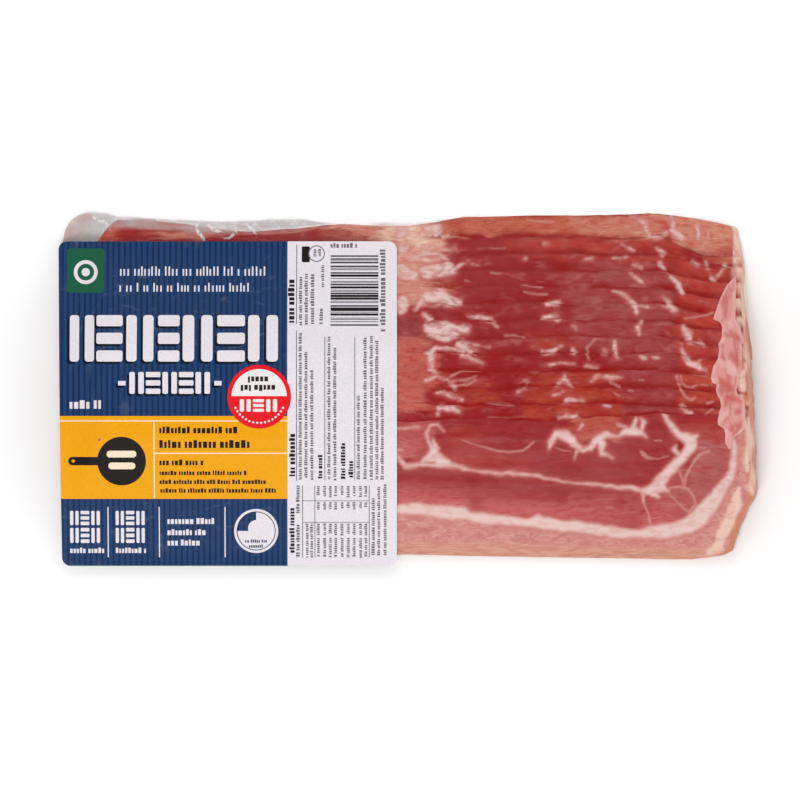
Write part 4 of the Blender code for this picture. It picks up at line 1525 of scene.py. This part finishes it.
class Shading:
    """The nodes of a new material or world, with short calls that add to them."""

    def __init__(self, owner):
        owner.use_nodes = True
        self.owner = owner
        self.tree = owner.node_tree
        self.tree.nodes.clear()

    def node(self, kind, inputs, output=0, **settings):
        """Adds a node, and gives one of its outputs."""
        made = self.tree.nodes.new("ShaderNode" + kind)
        for setting, value in settings.items():
            setattr(made, setting, value)
        for socket, value in inputs.items():
            if isinstance(value, bpy.types.NodeSocket):
                self.tree.links.new(value, made.inputs[socket])
            else:
                made.inputs[socket].default_value = value
        return made.outputs[output]

    def value(self, name):
        """A number that the mesh stores for each vertex."""
        return self.node("Attribute", {}, "Fac", attribute_name=name)

    def stored(self, name):
        """A vector that the mesh stores for each vertex."""
        return self.node("Attribute", {}, "Vector", attribute_name=name)

    def stretched(self, vector, factors):
        """A vector or a colour multiplied by a factor for each of its three parts."""
        return self.node("VectorMath", {0: vector, 1: factors}, operation="MULTIPLY")

    def maths(self, operation, first, second=0.0):
        return self.node("Math", {0: first, 1: second}, operation=operation)

    def times(self, first, second):
        return self.maths("MULTIPLY", first, second)

    def plus(self, first, second):
        return self.maths("ADD", first, second)

    def shift(self, noise, reach):
        """Noise as a shift to both sides of 0."""
        return self.times(self.maths("SUBTRACT", noise, 0.5), reach)

    def rise(self, value, start, stop, low=0.0, high=1.0):
        """A smooth rise from low to high as value goes from start to stop."""
        inputs = {"Value": value, "From Min": start, "From Max": stop, "To Min": low, "To Max": high}
        return self.node("MapRange", inputs, interpolation_type="SMOOTHSTEP")

    def noise(self, vector, scale, detail=2.0, roughness=0.5, distortion=0.0):
        inputs = {"Vector": vector, "Scale": scale, "Detail": detail}
        inputs |= {"Roughness": roughness, "Distortion": distortion}
        return self.node("TexNoise", inputs, "Fac")

    def grain(self, stretch, *settings):
        """Noise that follows the meat or the paper, stretched by a factor for each axis."""
        return self.noise(self.stretched(self.stored("place"), stretch), 1.0, *settings)

    def mix(self, share, first, second):
        """A colour between two others."""
        colours = [c if isinstance(c, bpy.types.NodeSocket) else (*c, 1) for c in (first, second)]
        return self.node("Mix", {0: share, 6: colours[0], 7: colours[1]}, 2, data_type="RGBA")

    def mix_shaders(self, share, first, second):
        return self.node("MixShader", {0: share, 1: first, 2: second})

    def bump(self, height, distance, strength=1.0):
        return self.node("Bump", {"Height": height, "Distance": distance * MM, "Strength": strength})

    def finish(self, shader, kind="OutputMaterial"):
        """Ends the nodes in this shader, and gives the material or world."""
        output = self.tree.nodes.new("ShaderNode" + kind)
        self.tree.links.new(shader, output.inputs["Surface"])
        return self.owner

    def finish_plain(self, colour, roughness, normal, gloss):
        """Ends the material in an opaque surface."""
        inputs = {"Base Color": colour, "Roughness": roughness, "Normal": normal}
        inputs |= {"IOR": SURFACE_IOR, "Specular IOR Level": gloss}
        return self.finish(self.node("BsdfPrincipled", inputs))


# The colours of fat, web and rind.
WHITE_FAT = rgb(222, 190, 184)
PINK_FAT = rgb(208, 150, 141)
HALO = rgb(186, 94, 88)
HAZE_PINK = rgb(184, 104, 102)
WEB_PINK = rgb(190, 115, 112)
WEB_TAN = rgb(202, 139, 130)
WEB_PALE = rgb(217, 164, 152)
RIND_TAN = rgb(194, 128, 112)
RIND_CREAM = rgb(209, 156, 134)
FOLD_DEEP = rgb(196, 110, 106)
FOLD_PINK = rgb(214, 146, 140)
# The fold's pale tone, also used for the painted highlights on its ridges.
FOLD_PALE = rgb(226, 178, 170)
# The painted shade in the fold's hollows.
FOLD_PAINTED_SHADE = rgb(190, 88, 82)
CREAM = rgb(228, 190, 174)
END_TAN = rgb(200, 126, 98)

LABEL_INKS = {
    "paper": rgb(232, 225, 231),
    "white": rgb(231, 224, 231),
    "blue": rgb(30, 62, 108),
    "shadow": rgb(10, 15, 30),
    "yellow": rgb(241, 165, 8),
    "cream": rgb(248, 228, 200),
    "green": rgb(28, 92, 66),
    "black": rgb(30, 22, 22),
    "grey": rgb(112, 104, 110),
}
STICKER_INKS = {"paper": rgb(238, 232, 232), "red": rgb(232, 28, 38), "black": rgb(44, 34, 34)}
BLUE_STREAKS = 0.9

# The colours of slack film, and the painted white highlight along creased film.
MILK = rgb(208, 203, 204)
BLUSHED_MILK = rgb(206, 180, 174)
CREASE_HIGHLIGHT = rgb(242, 232, 232)

# What the deepest red and the palest patches of the meat do to its colour.
DEEPENED = (0.84, 0.42, 0.40)
FADED = (1.12, 1.85, 1.75)


def lean_colour(s, fibres, streaks, patches, clouds, mottle):
    """The stored tone of the lean, with darker fibres, paler streaks and haze."""
    tone = s.stored("tone")
    deep = s.stretched(tone, DEEPENED)
    faded = s.stretched(tone, FADED)
    colour = s.mix(s.rise(mottle, 0.30, 0.50, 0.75, 0.0), tone, deep)
    colour = s.mix(s.rise(mottle, 0.52, 0.72, 0.0, 0.55), colour, faded)
    colour = s.mix(s.rise(fibres, 0.30, 0.50, 0.45, 0.0), colour, deep)
    pale_streaks = s.times(s.rise(streaks, 0.54, 0.68), s.rise(patches, 0.42, 0.60, 0.10, 0.8))
    colour = s.mix(pale_streaks, colour, faded)
    hazy = s.times(s.rise(clouds, 0.42, 0.70, 0.0, 0.5), s.rise(patches, 0.46, 0.66))
    return s.mix(s.times(hazy, s.value("ragged")), colour, HAZE_PINK)


def bacon_material():
    """Cured meat: long lean fibres, mottled tones, marbling with ragged edges, and tan rind."""
    s = Shading(bpy.data.materials.new("bacon"))
    fibres = s.grain((0.14, 1.2, 0.5), 4.0, 0.6, 0.3)
    streaks = s.grain((0.10, 1.6, 0.8), 3.0, 0.6, 0.4)
    patches = s.grain((0.10, 0.25, 0.5), 2.0)
    mottle = s.grain((0.28, 0.62, 0.6), 4.0, 0.6, 0.6)
    grain = s.grain((1.3, 1.9, 1.0), 4.0, 0.65)
    lumps = s.grain((0.34, 0.5, 0.5), 3.0, 0.5)
    clouds = s.grain((0.24, 0.42, 0.7), 3.0, 0.5, 0.4)
    blots = s.grain((0.22, 0.45, 0.4), 4.0, 0.6, 1.2)
    colour = lean_colour(s, fibres, streaks, patches, clouds, mottle)

    threads = s.rise(s.maths("ABSOLUTE", s.maths("SUBTRACT", blots, 0.5)), 0.0, 0.05, 1.0, 0.0)
    threads = s.times(threads, s.rise(patches, 0.35, 0.60, 0.15, 0.75))
    web_colour = s.mix(s.rise(clouds, 0.35, 0.65), WEB_PINK, WEB_TAN)
    web_colour = s.mix(threads, web_colour, WEB_PALE)
    colour = s.mix(s.value("web"), colour, web_colour)
    rind_colour = s.mix(s.rise(fibres, 0.35, 0.65), RIND_TAN, RIND_CREAM)
    colour = s.mix(s.value("rind"), colour, rind_colour)

    # The edges of the fat and of the right end are ragged, by a shift in lumps, streaks and grain.
    edge_shift = s.plus(s.shift(lumps, 2.6), s.plus(s.shift(grain, 0.4), s.shift(streaks, 0.5)))
    edge_shift = s.times(edge_shift, s.value("ragged"))
    end = s.plus(s.value("end"), s.times(edge_shift, 0.5))
    colour = s.mix(s.rise(end, 1.5, 3.0, 0.85, 0.0), colour, END_TAN)
    stripe = s.plus(s.value("stripe"), s.shift(blots, 2.0))
    stripe_share = s.times(s.rise(stripe, -1.0, 0.8), s.rise(clouds, 0.30, 0.50, 0.6, 0.95))
    colour = s.mix(stripe_share, colour, CREAM)

    depth = s.plus(s.value("fat"), edge_shift)
    colour = s.mix(s.rise(depth, -2.2, 0.2, 0.0, 0.35), colour, HALO)
    # Painted shade, in the dark red of meat juice, along the creases between rashers and in the gap of the
    # top rasher.
    seam = s.times(s.value("seam"), s.rise(mottle, 0.3, 0.7, 1.0, 0.75))
    colour = s.mix(seam, colour, JUICE_AND_SHADE_RED)
    fat_colour = s.mix(s.rise(depth, -0.2, 1.5), PINK_FAT, WHITE_FAT)
    fat_colour = s.mix(s.rise(clouds, 0.36, 0.52, 0.35, 0.0), fat_colour, PINK_FAT)
    thin = s.times(s.value("ragged"), s.rise(clouds, 0.34, 0.60, 0.5, 0.0))
    fat_share = s.times(s.rise(depth, -0.8, 0.8), s.maths("SUBTRACT", 1.0, thin))
    colour = s.mix(fat_share, colour, fat_colour)
    vein = s.plus(s.value("vein"), s.times(edge_shift, 0.2))
    colour = s.mix(s.rise(vein, -0.5, 0.35, 0.0, 0.55), colour, PINK_FAT)

    relief = s.plus(s.times(fibres, 0.4), s.times(grain, 0.1))
    relief = s.plus(relief, s.times(fat_share, 0.35))
    roughness = s.rise(grain, 0.3, 0.7, 0.40, 0.55)
    return s.finish_plain(colour, roughness, s.bump(relief, 0.15, 0.5), 0.1)


def fold_material():
    """Soft pink fat in long, smooth folds, with a paler, curled outer edge, painted shade in its hollows and
    painted highlights on its ridges.
    """
    s = Shading(bpy.data.materials.new("fat fold"))
    lumps = s.grain((0.22, 0.11, 0.2), 2.0, 0.5, 0.9)
    curls = s.grain((0.50, 0.14, 0.3), 3.0, 0.55, 0.8)
    colour = s.mix(s.rise(lumps, 0.36, 0.60), FOLD_DEEP, FOLD_PINK)
    colour = s.mix(s.rise(curls, 0.50, 0.75, 0.0, 0.45), colour, FOLD_PALE)
    wander = s.shift(curls, 3.0)
    # Painted shade in the hollows and painted highlights on the ridges.
    hollow_shade = s.plus(s.value("hollow_shade"), wander)
    colour = s.mix(s.rise(hollow_shade, -1.2, 0.8, 0.0, 0.75), colour, FOLD_PAINTED_SHADE)
    ridge_highlight = s.plus(s.value("ridge_highlight"), wander)
    colour = s.mix(s.rise(ridge_highlight, -1.0, 0.8, 0.0, 0.7), colour, FOLD_PALE)
    rim = s.plus(s.value("fold"), wander)
    colour = s.mix(s.rise(rim, 0.0, 1.6, 0.7, 0.0), colour, FOLD_PALE)
    relief = s.plus(lumps, s.times(curls, 0.25))
    roughness = s.rise(lumps, 0.3, 0.7, 0.35, 0.5)
    return s.finish_plain(colour, roughness, s.bump(relief, 0.4, 0.4), 0.2)


def film_material():
    """Clear film: a weak gloss, a milky look where it hangs slack, and a painted white highlight where it is
    creased.
    """
    s = Shading(bpy.data.materials.new("clear film"))
    place = s.node("TexCoord", {}, "Object")
    streaks = s.noise(place, 260.0, 4.0, 0.6, 0.8)
    clouds = s.noise(place, 90.0, 3.0)
    bump = s.bump(s.noise(place, 700.0, 2.0), 0.05, 0.3)
    gloss = s.node("BsdfGlossy", {"Color": WHITE, "Roughness": 0.2, "Normal": bump})
    fresnel = s.node("Fresnel", {"IOR": 1.16, "Normal": bump})
    clear = s.node("BsdfTransparent", {"Color": WHITE})
    skin = s.mix_shaders(s.maths("MINIMUM", fresnel, 0.1), clear, gloss)
    blush = s.rise(s.noise(place, 70.0, 2.0), 0.45, 0.65)
    milk = s.node("BsdfDiffuse", {"Color": s.mix(blush, MILK, BLUSHED_MILK)})
    haze = s.times(s.value("slack"), s.rise(clouds, 0.30, 0.70, 0.30, 0.80))
    # A painted white highlight along the creases.
    white = s.node("BsdfDiffuse", {"Color": (*CREASE_HIGHLIGHT, 1)})
    crease_highlight = s.rise(s.plus(s.value("crease_highlight"), s.shift(streaks, 1.6)), -0.4, 0.5, 0.0, 0.75)
    return s.finish(s.mix_shaders(crease_highlight, s.mix_shaders(haze, skin, milk), white))


def paper_material(name, colour, streaked=0.0):
    """Printed paper: an even ink with a faint grain and, on the blue, upright printed lines and pale streaks
    of painted reflection.
    """
    s = Shading(bpy.data.materials.new(name))
    grain = s.grain((2.2, 2.2, 1.0), 3.0, 0.6)
    darker = tuple(0.86 * channel for channel in colour)
    shade = s.mix(s.rise(grain, 0.3, 0.7), darker, colour)
    if streaked:
        place = s.stretched(s.stored("place"), (1.0, 0.03, 0.0))
        wave = {"Vector": place, "Scale": 0.155, "Distortion": 0.6, "Detail": 2.0}
        lines = s.node("TexWave", wave, "Fac")
        # Pale upright streaks on the blue are painted reflection.
        painted_reflections = s.grain((0.14, 0.035, 1.0), 3.0, 0.6)
        dark = tuple(0.42 * channel for channel in colour)
        pale = tuple(0.55 * channel + 0.12 for channel in colour)
        shade = s.mix(s.rise(lines, 0.0, 0.6, streaked, 0.0), shade, dark)
        shade = s.mix(s.rise(painted_reflections, 0.56, 0.78, 0.0, 0.45 * streaked), shade, pale)
    return s.finish_plain(shade, 0.5, s.bump(grain, 0.02, 0.25), 0.15)


def ink_materials(kind, colours):
    """A printed paper for each ink. The label's blue is the only streaked one."""
    return {
        ink: paper_material(f"{kind} {ink}", colour, BLUE_STREAKS if ink == "blue" else 0.0)
        for ink, colour in colours.items()
    }


# ---------------------------------------------------------------------------------------------------------
# The room, the lamps and the camera
# ---------------------------------------------------------------------------------------------------------


def make_floor():
    """A pale, even floor under the pack."""
    bpy.ops.mesh.primitive_plane_add(size=FLOOR_SIZE, location=(0, 0, 0))
    floor = bpy.context.object
    floor.name = "floor"
    s = Shading(bpy.data.materials.new("floor"))
    grain = s.noise(s.node("TexCoord", {}, "Object"), 40.0)
    shade = s.mix(grain, (0.93, 0.93, 0.93), (0.95, 0.95, 0.95))
    floor.data.materials.append(s.finish(s.node("BsdfDiffuse", {"Color": shade})))


def make_world():
    """A bright studio whose ceiling is dim straight overhead, so that flat film doesn't mirror it."""
    world = bpy.data.worlds.new("studio")
    bpy.context.scene.world = world
    s = Shading(world)
    upwards = s.node("SeparateXYZ", {0: s.node("TexCoord", {}, "Generated")}, "Z")
    strength = s.rise(upwards, 0.75, 0.97, 0.92, 0.35)
    s.finish(s.node("Background", {"Strength": strength}), "OutputWorld")


def make_lamp(name, azimuth, elevation, power):
    """A square soft lamp aimed at the pack, from these angles in degrees."""
    lamp = bpy.data.lights.new(name, "AREA")
    lamp.size = LAMP_SIZE
    lamp.energy = power
    around, up = math.radians(azimuth), math.radians(elevation)
    away = Vector((math.cos(up) * math.cos(around), math.cos(up) * math.sin(around), math.sin(up)))
    holder = bpy.data.objects.new(name, lamp)
    holder.location = away * LAMP_DISTANCE
    holder.rotation_euler = away.to_track_quat("Z", "Y").to_euler()
    bpy.context.scene.collection.objects.link(holder)


def make_camera():
    data = bpy.data.cameras.new("camera")
    data.lens = CAMERA_LENS
    data.sensor_width = CAMERA_SENSOR
    camera = bpy.data.objects.new("camera", data)
    distance = CAMERA_FIELD_WIDTH * CAMERA_LENS / CAMERA_SENSOR
    camera.location = (CAMERA_OFFSET[0] * MM, CAMERA_OFFSET[1] * MM, (CAMERA_AIM_HEIGHT + distance) * MM)
    bpy.context.scene.collection.objects.link(camera)
    bpy.context.scene.camera = camera


def main():
    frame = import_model()
    bacon = bacon_material()
    for rasher in range(RASHER_COUNT):
        make_rasher(rasher, bacon)
    make_fold(fold_material())
    outline = plan_outline(frame["nodes"]["bacon_pack"], RIM_POINTS)
    field = Field(*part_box("bacon_pack"))
    upper, lower, beside = film_surfaces(field, outline)
    make_film(field, outline, upper, lower, beside, film_material())
    label_height = make_label(field, upper, ink_materials("label", LABEL_INKS))
    make_sticker(label_height, ink_materials("sticker", STICKER_INKS))
    make_floor()
    make_world()
    for lamp in LAMPS:
        make_lamp(*lamp)
    make_camera()
    bpy.context.scene.view_settings.view_transform = "Standard"


main()
